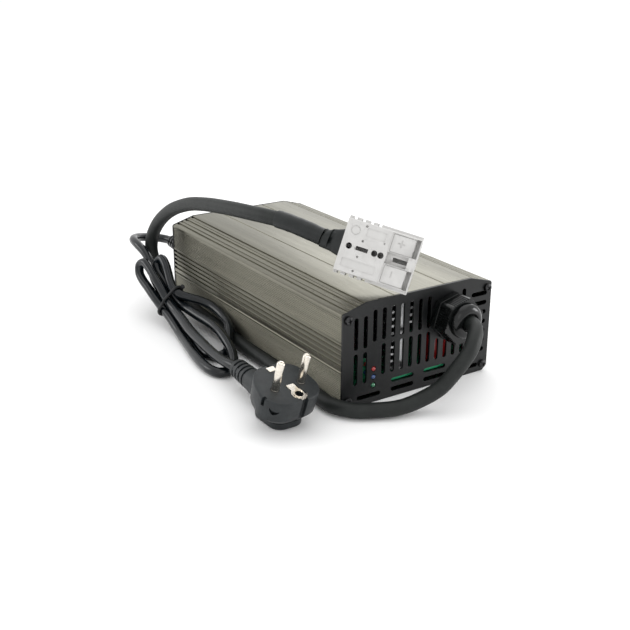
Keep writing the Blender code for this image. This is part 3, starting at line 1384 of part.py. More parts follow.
def strip_outline(margin):
    """The earth strip on the plug's face: a band that swells to a ring round the hole."""
    half = STRIP_WIDTH / 2 + margin
    ring = EARTH_RING + margin
    open_angle = math.asin(half / ring)
    centre = EARTH_HOLE_V
    end = PLUG_V[0] + SIDE_NOTCH_DEPTH - GAP - STRIP_THICKNESS - margin
    quarter = math.pi / 2
    outline = [(CLIP_U - half, end), (CLIP_U + half, end)]
    if end < centre - ring * math.cos(open_angle):
        outline += arc(CLIP_U, centre, ring, open_angle - quarter, quarter - open_angle, 5)
    outline += [(CLIP_U + half, STRIP_INNER_END + margin), (CLIP_U - half, STRIP_INNER_END + margin)]
    outline += arc(CLIP_U, centre, ring, quarter + open_angle, 3 * quarter - open_angle, 5)
    return outline


def build_plug(rubber, nickel):
    frame = plug_frame()
    boot_frame = frame_at(BOOT_START, Vector(BOOT_END) - Vector(BOOT_START), (0, 0, 1))
    boot_length = (Vector(BOOT_END) - Vector(BOOT_START)).length
    half_u, half_v = PLUG_BACK_HALF
    back = rounded_rectangle(
        (PLUG_BACK_CENTRE[0] - half_u, PLUG_BACK_CENTRE[0] + half_u),
        (PLUG_BACK_CENTRE[1] - half_v, PLUG_BACK_CENTRE[1] + half_v), PLUG_BACK_CORNER, 4,
    )
    face = rounded_rectangle(PLUG_U, PLUG_V, PLUG_CORNER, 4)
    small = rounded_rectangle(
        (PLUG_U[0] + PLUG_EDGE, PLUG_U[1] - PLUG_EDGE),
        (PLUG_V[0] + PLUG_EDGE, PLUG_V[1] - PLUG_EDGE), PLUG_CORNER - PLUG_EDGE, 4,
    )
    top = [frame @ Vector((u, v, 0)) for u, v in small]
    rim = [frame @ Vector((u, v, -PLUG_EDGE)) for u, v in face]
    waist = [frame @ Vector((u * PLUG_TAPER, v * PLUG_TAPER, -PLUG_STRAIGHT)) for u, v in face]
    foot = [Vector((x, y, PLUG_FOOT_EDGE)) for x, y in back]
    middle = Vector((*PLUG_BACK_CENTRE, 0))
    base = [middle + (Vector((x, y, 0)) - middle) * PLUG_FOOT_SHARE for x, y in back]
    waist_foot = [a.lerp(b, PLUG_WAIST) for a, b in zip(waist, foot)]
    bm = bmesh.new()
    add_loft(bm, [base, foot, waist_foot, waist, rim, top])
    body = piece("plug_body", bm, rubber)

    profile = [(0, 0), (BOOT_RADIUS, 0)]
    first = boot_length - BOOT_END_BAND - (BOOT_GROOVES * 2 - 1) * BOOT_GROOVE_WIDTH
    for groove in range(BOOT_GROOVES):
        low = first + groove * BOOT_GROOVE_WIDTH * 2
        high = low + BOOT_GROOVE_WIDTH
        profile += [(BOOT_RADIUS, low), (BOOT_GROOVE, low), (BOOT_GROOVE, high), (BOOT_RADIUS, high)]
    profile += [(BOOT_RADIUS, boot_length - BOOT_EDGE), (BOOT_RADIUS - BOOT_EDGE, boot_length)]
    profile += [(0, boot_length)]
    bm = bmesh.new()
    add_turned(bm, profile, boot_frame, 12)
    combine(body, bm, "boot", "UNION")

    above = 0.002
    bm = bmesh.new()
    for side in (-1, 1):
        hole = circle(side * PIN_SPACING / 2, 0, PIN_DIAMETER / 2 + GAP)
        add_prism(bm, [hole], frame, -PIN_ROOT - GAP, above)
    hole = circle(CLIP_U, EARTH_HOLE_V, EARTH_HOLE)
    add_prism(bm, [hole], frame, -PIN_LENGTH, -STRIP_THICKNESS / 2)
    combine(body, bm, "holes")
    near = PLUG_V[0] + SIDE_NOTCH_DEPTH
    far = PLUG_V[1] - SIDE_NOTCH_DEPTH
    notch = SIDE_NOTCH_WIDTH / 2
    bm = bmesh.new()
    for low, high in ((PLUG_V[0] - above, near), (far, PLUG_V[1] + above)):
        add_box(bm, frame, (CLIP_U - notch, low, -SIDE_NOTCH_DROP), (CLIP_U + notch, high, above))
    combine(body, bm, "notches")
    bm = bmesh.new()
    add_prism(bm, [strip_outline(GAP)], frame, -STRIP_THICKNESS - GAP, above)
    combine(body, bm, "strip_seat")

    for name, side in (("plug_pin_left", -1), ("plug_pin_right", 1)):
        radius = PIN_DIAMETER / 2
        profile = [(0, -PIN_ROOT), (radius, -PIN_ROOT), (radius, PIN_LENGTH - radius)]
        for step in (1, 2, 3):
            angle = math.radians(22.5 * step)
            profile.append((radius * math.cos(angle), PIN_LENGTH - radius + radius * math.sin(angle)))
        profile.append((0, PIN_LENGTH))
        pin_frame = frame @ Matrix.Translation((side * PIN_SPACING / 2, 0, 0))
        bm = bmesh.new()
        add_turned(bm, profile, pin_frame, 10)
        piece(name, bm, nickel)

    half = STRIP_WIDTH / 2
    foot = CLIP_CLEARANCE - SIDE_NOTCH_DROP
    bm = bmesh.new()
    add_prism(bm, [strip_outline(0), hole], frame, -STRIP_THICKNESS, 0)
    strip = piece("plug_earth_strip", bm, nickel, smooth=False)
    bm = bmesh.new()
    low = (CLIP_U - half, near - GAP - STRIP_THICKNESS, foot)
    add_box(bm, frame, low, (CLIP_U + half, near - GAP, -STRIP_THICKNESS / 2))
    combine(strip, bm, "leg", "UNION")
    bm = bmesh.new()
    low = (CLIP_U - half, far + GAP, foot)
    add_box(bm, frame, low, (CLIP_U + half, far + GAP + STRIP_THICKNESS, 0))
    piece("plug_earth_clip", bm, nickel, smooth=False)


def build():
    for obj in list(bpy.data.objects):
        bpy.data.objects.remove(obj, do_unlink=True)

    metal = finish("anodised_aluminium", (0.30, 0.285, 0.24), 0.38, 1.0)
    black = finish("black_powder_coat", (0.035, 0.036, 0.038), 0.45, 0.0)
    steel = finish("blackened_steel", (0.09, 0.09, 0.09), 0.35, 1.0)
    plastic = finish("black_nylon", (0.016, 0.018, 0.020), 0.42)
    jacket = finish("cable_jacket", (0.042, 0.050, 0.052), 0.55)
    sleeve = finish("heat_shrink", (0.030, 0.034, 0.036), 0.45)
    rubber = finish("plug_rubber", (0.065, 0.080, 0.090), 0.60)
    nickel = finish("nickel_plate", (0.78, 0.74, 0.68), 0.18, 1.0)
    silver = finish("silver_plate", (0.85, 0.84, 0.81), 0.22, 1.0)
    grey = finish("connector_plastic", (0.62, 0.61, 0.59), 0.55)
    board = finish("board_green", (0.02, 0.20, 0.11), 0.40)
    aluminium = finish("plain_aluminium", (0.80, 0.80, 0.80), 0.32, 1.0)
    blue = finish("blue_sleeve", (0.03, 0.16, 0.24), 0.35)
    red = finish("red_epoxy", (0.40, 0.02, 0.02), 0.35)
    ferrite = finish("ferrite", (0.03, 0.03, 0.03), 0.55)
    copper = finish("enamelled_copper", (0.55, 0.22, 0.08), 0.30, 1.0)
    glass = finish("fuse_glass", (0.75, 0.77, 0.77), 0.15)
    lamps = (
        finish("lamp_red", (0.42, 0.015, 0.015), 0.20),
        finish("lamp_blue", (0.035, 0.085, 0.27), 0.20),
        finish("lamp_green", (0.06, 0.32, 0.17), 0.20),
    )

    build_case(metal, black, steel)
    build_gland(plastic, rubber)
    build_cord_relief(plastic)
    build_fan(plastic)
    build_boards(board)
    build_lamps(lamps)
    build_output_parts(aluminium, blue, red)
    build_mains_parts(aluminium, ferrite, copper, plastic, glass)
    build_output_cable(jacket, sleeve)
    build_connector(grey, silver)
    build_mains_cord(jacket, plastic)
    build_plug(rubber, nickel)


build()
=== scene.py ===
"""Battery charger in its picture: the camera, the light, the two cords and every visible piece.

Shapes are drawn in millimetres in the row frame and made metres as they are finished.
"""

import math

import bmesh
import bpy
from mathutils import Matrix, Vector


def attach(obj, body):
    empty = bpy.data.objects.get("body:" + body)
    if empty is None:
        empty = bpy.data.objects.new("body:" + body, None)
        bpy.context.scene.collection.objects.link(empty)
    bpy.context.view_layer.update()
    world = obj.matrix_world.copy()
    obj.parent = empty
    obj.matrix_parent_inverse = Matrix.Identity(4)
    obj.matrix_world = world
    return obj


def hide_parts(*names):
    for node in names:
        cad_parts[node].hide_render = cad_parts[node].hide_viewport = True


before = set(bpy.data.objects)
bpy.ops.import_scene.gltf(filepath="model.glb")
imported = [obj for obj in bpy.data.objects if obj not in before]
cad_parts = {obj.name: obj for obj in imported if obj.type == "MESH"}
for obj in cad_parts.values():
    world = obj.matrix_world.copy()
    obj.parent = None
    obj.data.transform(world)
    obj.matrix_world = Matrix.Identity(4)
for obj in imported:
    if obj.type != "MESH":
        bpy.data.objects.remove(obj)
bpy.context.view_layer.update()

MM = 0.001
TURN = 2 * math.pi

# Case section in x and z, the ends of the shells and of the sheets, and the drawn ribs.
SIDE = 58.0
TOP = 66.5
TOP_EDGE = 40.4
SHOULDER = 61.6
FOOT = 3.5
SHELL_END = 110.7
REAR = 112.5
PANEL = 1.5
RIB_PITCH = 1.2
RIB_DEPTH = 0.45

# What the two sheets carry: places in x and z, and sizes.
SLOT_WIDTH = 2.9
LAMP_X = -34.6
LAMPS = (("red", 22.2), ("blue", 16.9), ("green", 11.4))
GLAND_X = 23.2
GLAND_Z = 46.6
GLAND_TURN = 0.2286
GLAND_FLATS = 27.4
BUSH_X = -47.0
BUSH_Z = 40.5
FAN_X = 8.0
FAN_Z = 33.25
FAN_HALF = 30.0
FAN_SCREW_REACH = 25.0

# The fan along the case: the front of its frame and the middle of its blades.
FAN_FRONT = 95.7
FAN_MIDDLE = 101.9

# The board's upper face and its front edge.
BOARD_TOP = 11.7
BOARD_FRONT = -109.8

# Half the distance between the plug's pins.
PIN_REACH = 9.5

# The output cable leaves the gland, bends down to the floor, runs along the case, rises
# behind it and comes forward over its top.
OUTPUT_ROUTE = (
    (23.2, -104.0, 46.6), (23.2, -131.9, 46.6), (23.2, -133.9, 46.6), (20.6, -140.0, 45.6),
    (14.8, -146.0, 42.6), (7.9, -149.9, 37.0), (-2.4, -149.9, 26.9), (-10.0, -145.9, 16.4),
    (-20.8, -140.8, 9.4), (-33.2, -137.1, 6.1), (-47.5, -130.3, 5.2), (-58.0, -123.0, 5.1),
    (-64.0, -112.0, 5.1), (-64.3, -96.5, 5.1), (-63.9, -72.5, 5.1), (-63.8, -42.5, 5.1),
    (-63.8, -12.5, 5.2), (-63.9, 15.5, 6.2), (-64.4, 37.5, 7.8), (-65.4, 57.5, 9.5),
    (-66.8, 75.5, 12.0), (-68.6, 92.5, 16.2), (-70.2, 106.5, 22.5), (-71.2, 117.0, 31.0),
    (-71.4, 122.5, 41.5), (-70.6, 121.6, 51.8), (-70.1, 111.5, 64.6), (-70.0, 89.5, 79.4),
    (-70.0, 60.0, 91.0), (-70.0, 34.1, 96.9), (-69.9, 11.1, 100.5), (-69.4, -7.9, 102.9),
    (-68.0, -24.8, 104.4), (-65.3, -38.7, 105.1), (-61.5, -50.1, 104.9), (-57.0, -59.2, 103.2),
    (-52.3, -66.6, 100.8), (-47.0, -73.6, 97.8),
)
OUTPUT_RADIUS = 4.8
SLEEVE_RADIUS = 5.5
WIRE_RADIUS = 2.9

# The mains cord leaves the rear bush, passes the tie five times in two long loops
# beside the case and ends in the plug's boot.
MAINS_ROUTE = (
    (-47.0, 101.0, 40.5), (-47.0, 108.6, 40.5), (-47.0, 116.2, 40.5), (-47.0, 123.9, 40.5),
    (-46.9, 131.5, 40.5), (-47.3, 139.2, 40.5), (-49.6, 146.1, 40.6), (-54.8, 151.1, 41.2),
    (-62.1, 152.4, 42.4), (-69.4, 150.2, 44.0), (-74.9, 145.3, 45.4), (-78.5, 138.8, 46.3),
    (-80.1, 131.4, 46.3), (-80.5, 123.9, 45.3), (-80.2, 116.8, 43.3), (-79.9, 110.3, 39.9),
    (-80.4, 104.5, 35.3), (-81.7, 99.0, 30.4), (-82.4, 92.8, 26.2), (-82.3, 86.5, 22.2),
    (-81.9, 80.1, 18.3), (-81.2, 73.3, 14.7), (-80.6, 66.4, 11.6), (-80.4, 59.2, 8.7),
    (-80.7, 51.9, 6.2), (-81.5, 44.3, 4.4), (-82.7, 37.1, 3.6), (-84.1, 29.7, 3.4),
    (-85.8, 22.3, 3.4), (-87.4, 14.9, 3.5), (-88.9, 7.3, 3.4), (-88.9, -0.3, 3.4),
    (-85.1, -6.3, 3.6), (-78.8, -6.2, 4.5), (-74.1, -1.2, 6.6), (-70.6, 4.3, 10.3),
    (-67.0, 10.0, 13.5), (-64.1, 16.6, 15.0), (-62.6, 24.0, 15.9), (-61.9, 31.3, 17.0),
    (-62.1, 38.9, 18.4), (-63.4, 46.1, 19.7), (-66.6, 52.8, 20.9), (-71.6, 58.6, 22.3),
    (-76.6, 63.9, 24.2), (-79.2, 70.1, 27.3), (-79.0, 75.9, 31.4), (-77.8, 81.6, 36.2),
    (-76.8, 87.5, 40.9), (-76.6, 94.1, 43.1), (-78.2, 97.8, 39.3), (-79.5, 93.7, 34.0),
    (-79.5, 87.1, 30.4), (-78.8, 80.6, 26.5), (-78.0, 74.5, 22.1), (-77.4, 68.0, 18.5),
    (-77.0, 60.6, 16.8), (-76.7, 53.1, 16.4), (-76.4, 45.5, 16.2), (-75.9, 37.9, 15.8),
    (-75.2, 30.5, 15.5), (-74.8, 23.0, 15.2), (-74.9, 15.2, 14.9), (-75.7, 7.4, 14.4),
    (-76.7, -0.2, 13.1), (-77.7, -7.5, 11.3), (-79.2, -14.6, 9.4), (-81.6, -21.5, 7.4),
    (-85.0, -27.9, 5.7), (-90.2, -32.0, 4.2), (-96.5, -30.0, 3.5), (-99.2, -23.1, 3.4),
    (-99.3, -15.5, 3.4), (-98.6, -7.9, 3.4), (-97.4, -0.3, 3.4), (-96.1, 7.1, 3.4),
    (-94.5, 14.5, 3.4), (-92.9, 21.9, 3.4), (-91.3, 29.2, 3.5), (-89.8, 36.8, 3.8),
    (-88.5, 44.5, 4.8), (-87.7, 51.9, 6.6), (-87.2, 59.1, 9.0), (-87.3, 66.2, 11.6),
    (-87.8, 73.3, 14.3), (-88.4, 80.0, 17.5), (-88.8, 86.9, 20.7), (-88.9, 93.9, 23.7),
    (-89.1, 101.0, 26.5), (-88.8, 107.2, 30.5), (-87.5, 108.9, 36.1), (-86.1, 103.5, 39.1),
    (-85.9, 96.2, 37.2), (-86.0, 89.2, 34.0), (-85.8, 82.7, 30.2), (-85.2, 76.7, 25.6),
    (-84.6, 71.0, 20.9), (-84.3, 64.4, 17.4), (-84.6, 57.1, 15.7), (-85.4, 49.6, 14.7),
    (-86.3, 42.2, 13.7), (-87.4, 34.8, 12.7), (-88.4, 27.4, 11.9), (-89.3, 19.7, 11.4),
    (-90.1, 12.1, 11.1), (-90.9, 4.4, 10.9), (-91.8, -3.4, 10.8), (-92.6, -10.9, 10.8),
    (-93.3, -18.4, 10.9), (-93.9, -25.9, 11.3), (-94.3, -33.4, 11.9), (-94.1, -41.2, 12.7),
    (-93.2, -48.8, 13.0), (-94.0, -60.0, 13.0),
)
MAINS_RADIUS = 3.3
TIE_RADIUS = 1.0


def rows_at(origin, forward, across):
    """A frame with its third axis forward and its first axis nearest to across."""
    w = Vector(forward).normalized()
    v = w.cross(Vector(across)).normalized()
    u = v.cross(w)
    made = Matrix((u, v, w)).transposed().to_4x4()
    made.translation = origin
    return made


# Frames: flat on the floor, the case's section with its third axis along the case, and one
# at each fitting. The connector's and the plug's third axes point out of their marked faces.
FLAT = Matrix.Identity(4)
SECTION = Matrix(((1, 0, 0, 0), (0, 0, 1, 0), (0, 1, 0, 0), (0, 0, 0, 1)))
GLAND = rows_at((GLAND_X, -REAR, GLAND_Z), (0, -1, 0), (math.cos(GLAND_TURN), 0, math.sin(GLAND_TURN)))
BUSH = rows_at((BUSH_X, REAR, BUSH_Z), (0, 1, 0), (1, 0, 0))
CONNECTOR = rows_at((-29.0, -105.8, 92.1), (-0.6301, -0.7119, 0.3102), (0.6706, -0.7002, -0.2449))
PLUG = rows_at((-97.5, -115.0, 28.0), (0.069, -0.265, 0.962), (0.991, 0.127, -0.036))
BOOT = rows_at((-96.1, -92.5, 13.0), (2.9, 43.7, 0.0), (0, 0, 1))


# Camera and light.


def put_camera():
    """The photograph's view, from its three angles, its place and its lens."""
    yaw, pitch, roll = (math.radians(angle) for angle in (-33.51, 21.15, 0.365))
    back = Vector((math.sin(yaw) * math.cos(pitch), -math.cos(yaw) * math.cos(pitch), math.sin(pitch)))
    right = Vector((math.cos(yaw), math.sin(yaw), 0))
    up = back.cross(right)
    tilted = (
        right * math.cos(roll) + up * math.sin(roll),
        up * math.cos(roll) - right * math.sin(roll),
        back,
    )
    lens = bpy.data.cameras.new("camera")
    lens.sensor_width = 36.0
    lens.lens = 58.56
    lens.clip_start = 0.01
    camera = bpy.data.objects.new("camera", lens)
    camera.matrix_world = Matrix(tilted).transposed().to_4x4()
    camera.location = (-0.3783, -0.5666, 0.2770)
    bpy.context.scene.collection.objects.link(camera)
    bpy.context.scene.camera = camera


def soft_box(name, place, aim, size, watts):
    """A rectangular light of a size in metres, turned towards a point."""
    light = bpy.data.lights.new(name, "AREA")
    light.shape = "RECTANGLE"
    light.size, light.size_y = size
    light.energy = watts
    lamp = bpy.data.objects.new(name, light)
    lamp.location = place
    lamp.rotation_euler = (Vector(aim) - Vector(place)).to_track_quat("-Z", "Y").to_euler()
    bpy.context.scene.collection.objects.link(lamp)


def put_light():
    world = bpy.data.worlds.new("white_studio")
    world.use_nodes = True
    sky = world.node_tree.nodes["Background"]
    sky.inputs["Color"].default_value = (1.0, 1.0, 1.0, 1.0)
    sky.inputs["Strength"].default_value = 1.08
    bpy.context.scene.world = world
    bpy.context.scene.view_settings.view_transform = "Standard"
    soft_box("overhead_box", (0.15, 0.15, 1.3), (0.0, 0.0, 0.0), (1.3, 1.3), 2.8)
    soft_box("rear_right_box", (0.9, 0.75, 0.75), (0.0, 0.0, 0.05), (0.9, 0.7), 3.0)
    soft_box("front_left_box", (-0.9, -1.0, 0.8), (0.0, -0.1, 0.05), (0.7, 0.7), 1.2)
    soft_box("rear_left_box", (-0.9, 0.9, 0.5), (-0.06, 0.05, 0.03), (0.6, 0.5), 2.5)
    soft_box("front_right_box", (1.0, -0.65, 0.30), (0.03, -0.1, 0.04), (0.4, 0.5), 4.5)


# Drawing and finishing.


def arc(centre, radius, start, end, steps):
    angles = [start + (end - start) * step / steps for step in range(steps + 1)]
    return [(centre[0] + radius * math.cos(a), centre[1] + radius * math.sin(a)) for a in angles]


def circle(centre, radius, steps=32):
    return arc(centre, radius, 0.0, TURN, steps)[:-1]


def rounded(u, v, corner, steps=8):
    """A rectangle from its ranges in u and v, with round corners."""
    centres = (
        (u[1] - corner, v[1] - corner), (u[0] + corner, v[1] - corner),
        (u[0] + corner, v[0] + corner), (u[1] - corner, v[0] + corner),
    )
    points = []
    for quarter, centre in enumerate(centres):
        points += arc(centre, corner, quarter * TURN / 4, (quarter + 1) * TURN / 4, steps)
    return points


def slot(start, end, width, steps=8):
    """A slot with round ends that reach the two given points."""
    start = Vector(start)
    end = Vector(end)
    along = (end - start).normalized() * width / 2
    aim = math.atan2(along.y, along.x)
    tip = arc(end - along, width / 2, aim - TURN / 4, aim + TURN / 4, steps)
    return tip + arc(start + along, width / 2, aim + TURN / 4, aim + TURN * 3 / 4, steps)


def cross_outline(arm, half, centre=(0.0, 0.0)):
    """A cross by the reach of its arms and half their width."""
    points = []
    for quarter in range(4):
        turned = Matrix.Rotation(quarter * TURN / 4, 2)
        for corner in ((half, -half), (arm, -half), (arm, half)):
            points.append(tuple(turned @ Vector(corner) + Vector(centre)))
    return points


def draw(bm, outline, place, low, high, holes=()):
    """Fills an outline, less its holes, and extrudes it from one height to the other."""
    edges = []
    for loop in (outline, *holes):
        ring = [bm.verts.new(place @ Vector((u, v, low))) for u, v in loop]
        edges += [bm.edges.new((ring[i - 1], ring[i])) for i in range(len(ring))]
    if holes:
        filled = bmesh.ops.triangle_fill(bm, edges=edges, use_beauty=True, use_dissolve=False)["geom"]
        faces = [item for item in filled if isinstance(item, bmesh.types.BMFace)]
    else:
        faces = [bm.faces.new(ring)]
    raised = bmesh.ops.extrude_face_region(bm, geom=faces)["geom"]
    corners = [item for item in raised if isinstance(item, bmesh.types.BMVert)]
    bmesh.ops.translate(bm, verts=corners, vec=place.to_3x3() @ Vector((0, 0, high - low)))


def turn(bm, profile, place, steps=48, ring=False):
    """Spins a profile of radius and height once round the frame's third axis."""
    verts = [bm.verts.new(place @ Vector((radius, 0, height))) for radius, height in profile]
    edges = [bm.edges.new(pair) for pair in zip(verts, verts[1:])]
    if ring:
        edges.append(bm.edges.new((verts[-1], verts[0])))
    axis = place.to_3x3() @ Vector((0, 0, 1))
    bmesh.ops.spin(
        bm, geom=verts + edges, cent=place.translation, axis=axis, angle=TURN, steps=steps,
        use_merge=True, use_duplicate=False,
    )
    bmesh.ops.remove_doubles(bm, verts=bm.verts, dist=0.0005)


def loft(bm, rings):
    """Bridges rings that have the same number of points, and closes both ends."""
    loops = []
    for ring in rings:
        verts = [bm.verts.new(point) for point in ring]
        loops.append((verts, [bm.edges.new((verts[i - 1], verts[i])) for i in range(len(verts))]))
    for (_, lower), (_, upper) in zip(loops, loops[1:]):
        bmesh.ops.bridge_loops(bm, edges=lower + upper)
    bm.faces.new(loops[0][0])
    bm.faces.new(loops[-1][0])


def cut(bm, tool):
    """Cuts one shape out of another and gives the result as a new shape."""
    pair = []
    for shape in (bm, tool):
        bmesh.ops.recalc_face_normals(shape, faces=shape.faces)
        mesh = bpy.data.meshes.new("blank")
        shape.to_mesh(mesh)
        shape.free()
        pair.append(bpy.data.objects.new("blank", mesh))
        bpy.context.scene.collection.objects.link(pair[-1])
    knife = pair[0].modifiers.new("knife", "BOOLEAN")
    knife.operation = "DIFFERENCE"
    knife.object = pair[1]
    result = bmesh.new()
    result.from_object(pair[0], bpy.context.evaluated_depsgraph_get())
    for obj in pair:
        bpy.data.objects.remove(obj, do_unlink=True)
    return result


def carve(bm, place, high, marks):
    """Cuts outlines into a shape in one pass, each with its depth and any island left in it."""
    tool = bmesh.new()
    for outline, low, *islands in marks:
        draw(tool, outline, place, low, high, islands)
    return cut(bm, tool)


def welded(node):
    """A merged copy of one node's mesh, in millimetres, with its flat faces made whole."""
    bm = bmesh.new()
    bm.from_mesh(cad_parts[node].data)
    bmesh.ops.scale(bm, vec=(1000, 1000, 1000), verts=bm.verts)
    bmesh.ops.remove_doubles(bm, verts=bm.verts, dist=0.001)
    bmesh.ops.dissolve_limit(bm, angle_limit=math.radians(1), verts=bm.verts, edges=bm.edges)
    return bm


def show(name, bm, material, nodes, edge=0.0, sharp=35, body="charger"):
    """Finishes a shape as a piece that rides on a body in place of the named nodes."""
    bmesh.ops.recalc_face_normals(bm, faces=bm.faces)
    bmesh.ops.scale(bm, vec=(MM, MM, MM), verts=bm.verts)
    mesh = bpy.data.meshes.new(name)
    bm.to_mesh(mesh)
    bm.free()
    mesh.shade_smooth()
    mesh.set_sharp_from_angle(angle=math.radians(sharp))
    mesh.materials.append(material)
    obj = bpy.data.objects.new(name, mesh)
    bpy.context.scene.collection.objects.link(obj)
    if edge:
        bevel = obj.modifiers.new("edge", "BEVEL")
        bevel.width = edge * MM
        bevel.segments = 2
        bevel.limit_method = "ANGLE"
        bevel.angle_limit = math.radians(sharp)
        bevel.use_clamp_overlap = True
        bevel.harden_normals = True
    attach(obj, body)
    if nodes:
        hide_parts(*nodes)
    return obj


def smoothed(points, per_span=8):
    """A centripetal curve through the route's points, as closely set points."""
    points = [Vector(point) for point in points]
    ends = [points[0] * 2 - points[1]] + points + [points[-1] * 2 - points[-2]]
    result = []
    for i in range(1, len(points)):
        p0, p1, p2, p3 = ends[i - 1:i + 3]
        t1 = math.sqrt((p1 - p0).length)
        t2 = t1 + math.sqrt((p2 - p1).length)
        t3 = t2 + math.sqrt((p3 - p2).length)
        for step in range(per_span):
            t = t1 + (t2 - t1) * step / per_span
            a1 = p0.lerp(p1, t / t1)
            a2 = p1.lerp(p2, (t - t1) / (t2 - t1))
            a3 = p2.lerp(p3, (t - t2) / (t3 - t2))
            b1 = a1.lerp(a2, t / t2)
            b2 = a2.lerp(a3, (t - t1) / (t3 - t1))
            result.append(b1.lerp(b2, (t - t1) / (t2 - t1)))
    return result + [points[-1]]


def spaced(points, spacing):
    """Points at even distances along a closely set route, its ends included."""
    reach = [0.0]
    for first, second in zip(points, points[1:]):
        reach.append(reach[-1] + (second - first).length)
    count = max(1, round(reach[-1] / spacing))
    result = []
    index = 0
    for step in range(count + 1):
        target = reach[-1] * step / count
        while index < len(points) - 2 and reach[index + 1] < target:
            index += 1
        share = (target - reach[index]) / (reach[index + 1] - reach[index])
        result.append(points[index].lerp(points[index + 1], share))
    return result


def tube(name, runs, radius, material, nodes, swell=None, closed=False):
    """A round cord along each run of points; swell gives each point's share of the radius."""
    curve = bpy.data.curves.new(name, "CURVE")
    curve.dimensions = "3D"
    curve.bevel_depth = radius * MM
    curve.bevel_resolution = 7
    curve.use_fill_caps = True
    for run in runs:
        spline = curve.splines.new("POLY")
        spline.use_cyclic_u = closed and run is runs[0]
        spline.points.add(len(run) - 1)
        for index, point in enumerate(run):
            spline.points[index].co = (*(point * MM), 1.0)
            spline.points[index].radius = swell[index] if swell else 1.0
    curve.materials.append(material)
    obj = bpy.data.objects.new(name, curve)
    bpy.context.scene.collection.objects.link(obj)
    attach(obj, "charger")
    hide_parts(*nodes)
    return obj


# Materials.


def linear(colour):
    """An sRGB hex value as the linear colour that a shader takes."""
    shares = [int(colour[i:i + 2], 16) / 255 for i in (1, 3, 5)]
    return (*[c / 12.92 if c <= 0.04045 else ((c + 0.055) / 1.055) ** 2.4 for c in shares], 1.0)


def add(tree, kind, inputs, **settings):
    """Adds a node; an input is a value, or the node and the output that it is linked to."""
    made = tree.nodes.new(kind)
    for name, value in settings.items():
        setattr(made, name, value)
    for name, value in inputs.items():
        if isinstance(value, tuple) and isinstance(value[0], bpy.types.Node):
            tree.links.new(value[0].outputs[value[1]], made.inputs[name])
        else:
            made.inputs[name].default_value = value
    return made


def surface(name, dark, light, roughness, grain, height, metallic=0.0, ior=1.5, mottle=14.0,
            stretch=(1, 1, 1), coat=0.0):
    """A finish with clouds of two colours, mottle mm across, over a grain of grain mm.

    The grain is height mm high. Stretch lengthens both along the axes with small numbers.
    The range of roughness follows the grain.
    """
    material = bpy.data.materials.new(name)
    material.use_nodes = True
    tree = material.node_tree
    shader = tree.nodes["Principled BSDF"]
    shader.inputs["Metallic"].default_value = metallic
    if not metallic:
        shader.inputs["IOR"].default_value = ior
    if coat:
        shader.inputs["Coat Weight"].default_value = coat
        shader.inputs["Coat Roughness"].default_value = 0.12
    where = add(tree, "ShaderNodeTexCoord", {})
    along = add(tree, "ShaderNodeMapping", {"Vector": (where, "Object"), "Scale": stretch})
    clouds = add(tree, "ShaderNodeTexNoise", {
        "Vector": (along, "Vector"), "Scale": 1 / (mottle * MM), "Detail": 4.0, "Roughness": 0.6,
    })
    fine = add(tree, "ShaderNodeTexNoise", {
        "Vector": (along, "Vector"), "Scale": 1 / (grain * MM), "Detail": 2.0,
    })
    ramp = add(tree, "ShaderNodeValToRGB", {"Fac": (clouds, "Fac")})
    for element, position, colour in zip(ramp.color_ramp.elements, (0.34, 0.66), (dark, light)):
        element.position = position
        element.color = linear(colour)
    tree.links.new(ramp.outputs["Color"], shader.inputs["Base Color"])
    gloss = add(tree, "ShaderNodeMapRange", {
        "Value": (fine, "Fac"), "From Min": 0.3, "From Max": 0.7,
        "To Min": roughness[0], "To Max": roughness[1],
    })
    tree.links.new(gloss.outputs["Result"], shader.inputs["Roughness"])
    relief = add(tree, "ShaderNodeBump", {
        "Height": (fine, "Fac"), "Strength": 0.7, "Distance": height * MM,
    })
    tree.links.new(relief.outputs["Normal"], shader.inputs["Normal"])
    return material


def share_out(tree, source, low, high):
    """Lets another source share out a finish's two colours, in place of its clouds."""
    ramp = next(item for item in tree.nodes if item.type == "VALTORGB")
    tree.nodes.remove(ramp.inputs["Fac"].links[0].from_node)
    ramp.color_ramp.elements[0].position = low
    ramp.color_ramp.elements[1].position = high
    tree.links.new(source[0].outputs[source[1]], ramp.inputs["Fac"])


def patterned(material, kind, inputs, low, high, depth, **settings):
    """Shares out a finish's two colours by a pattern, and presses it in by depth mm."""
    tree = material.node_tree
    shader = tree.nodes["Principled BSDF"]
    where = next(item for item in tree.nodes if item.type == "TEX_COORD")
    grain = next(item for item in tree.nodes if item.type == "BUMP")
    pattern = add(tree, kind, {"Vector": (where, "Object"), **inputs}, **settings)
    share_out(tree, (pattern, "Fac"), low, high)
    relief = add(tree, "ShaderNodeBump", {
        "Height": (pattern, "Fac"), "Normal": (grain, "Normal"), "Strength": 1.0,
        "Distance": depth * MM,
    })
    tree.links.new(relief.outputs["Normal"], shader.inputs["Normal"])
    return material


def split_at(material, axis, level, soft):
    """Gives a finish its first colour below a level along an axis, in mm, and its second above."""
    tree = material.node_tree
    where = next(item for item in tree.nodes if item.type == "TEX_COORD")
    parts = add(tree, "ShaderNodeSeparateXYZ", {"Vector": (where, "Object")})
    height = add(tree, "ShaderNodeMapRange", {
        "Value": (parts, axis), "From Min": (level - soft) * MM, "From Max": (level + soft) * MM,
    })
    share_out(tree, (height, "Result"), 0.3, 0.7)
    return material


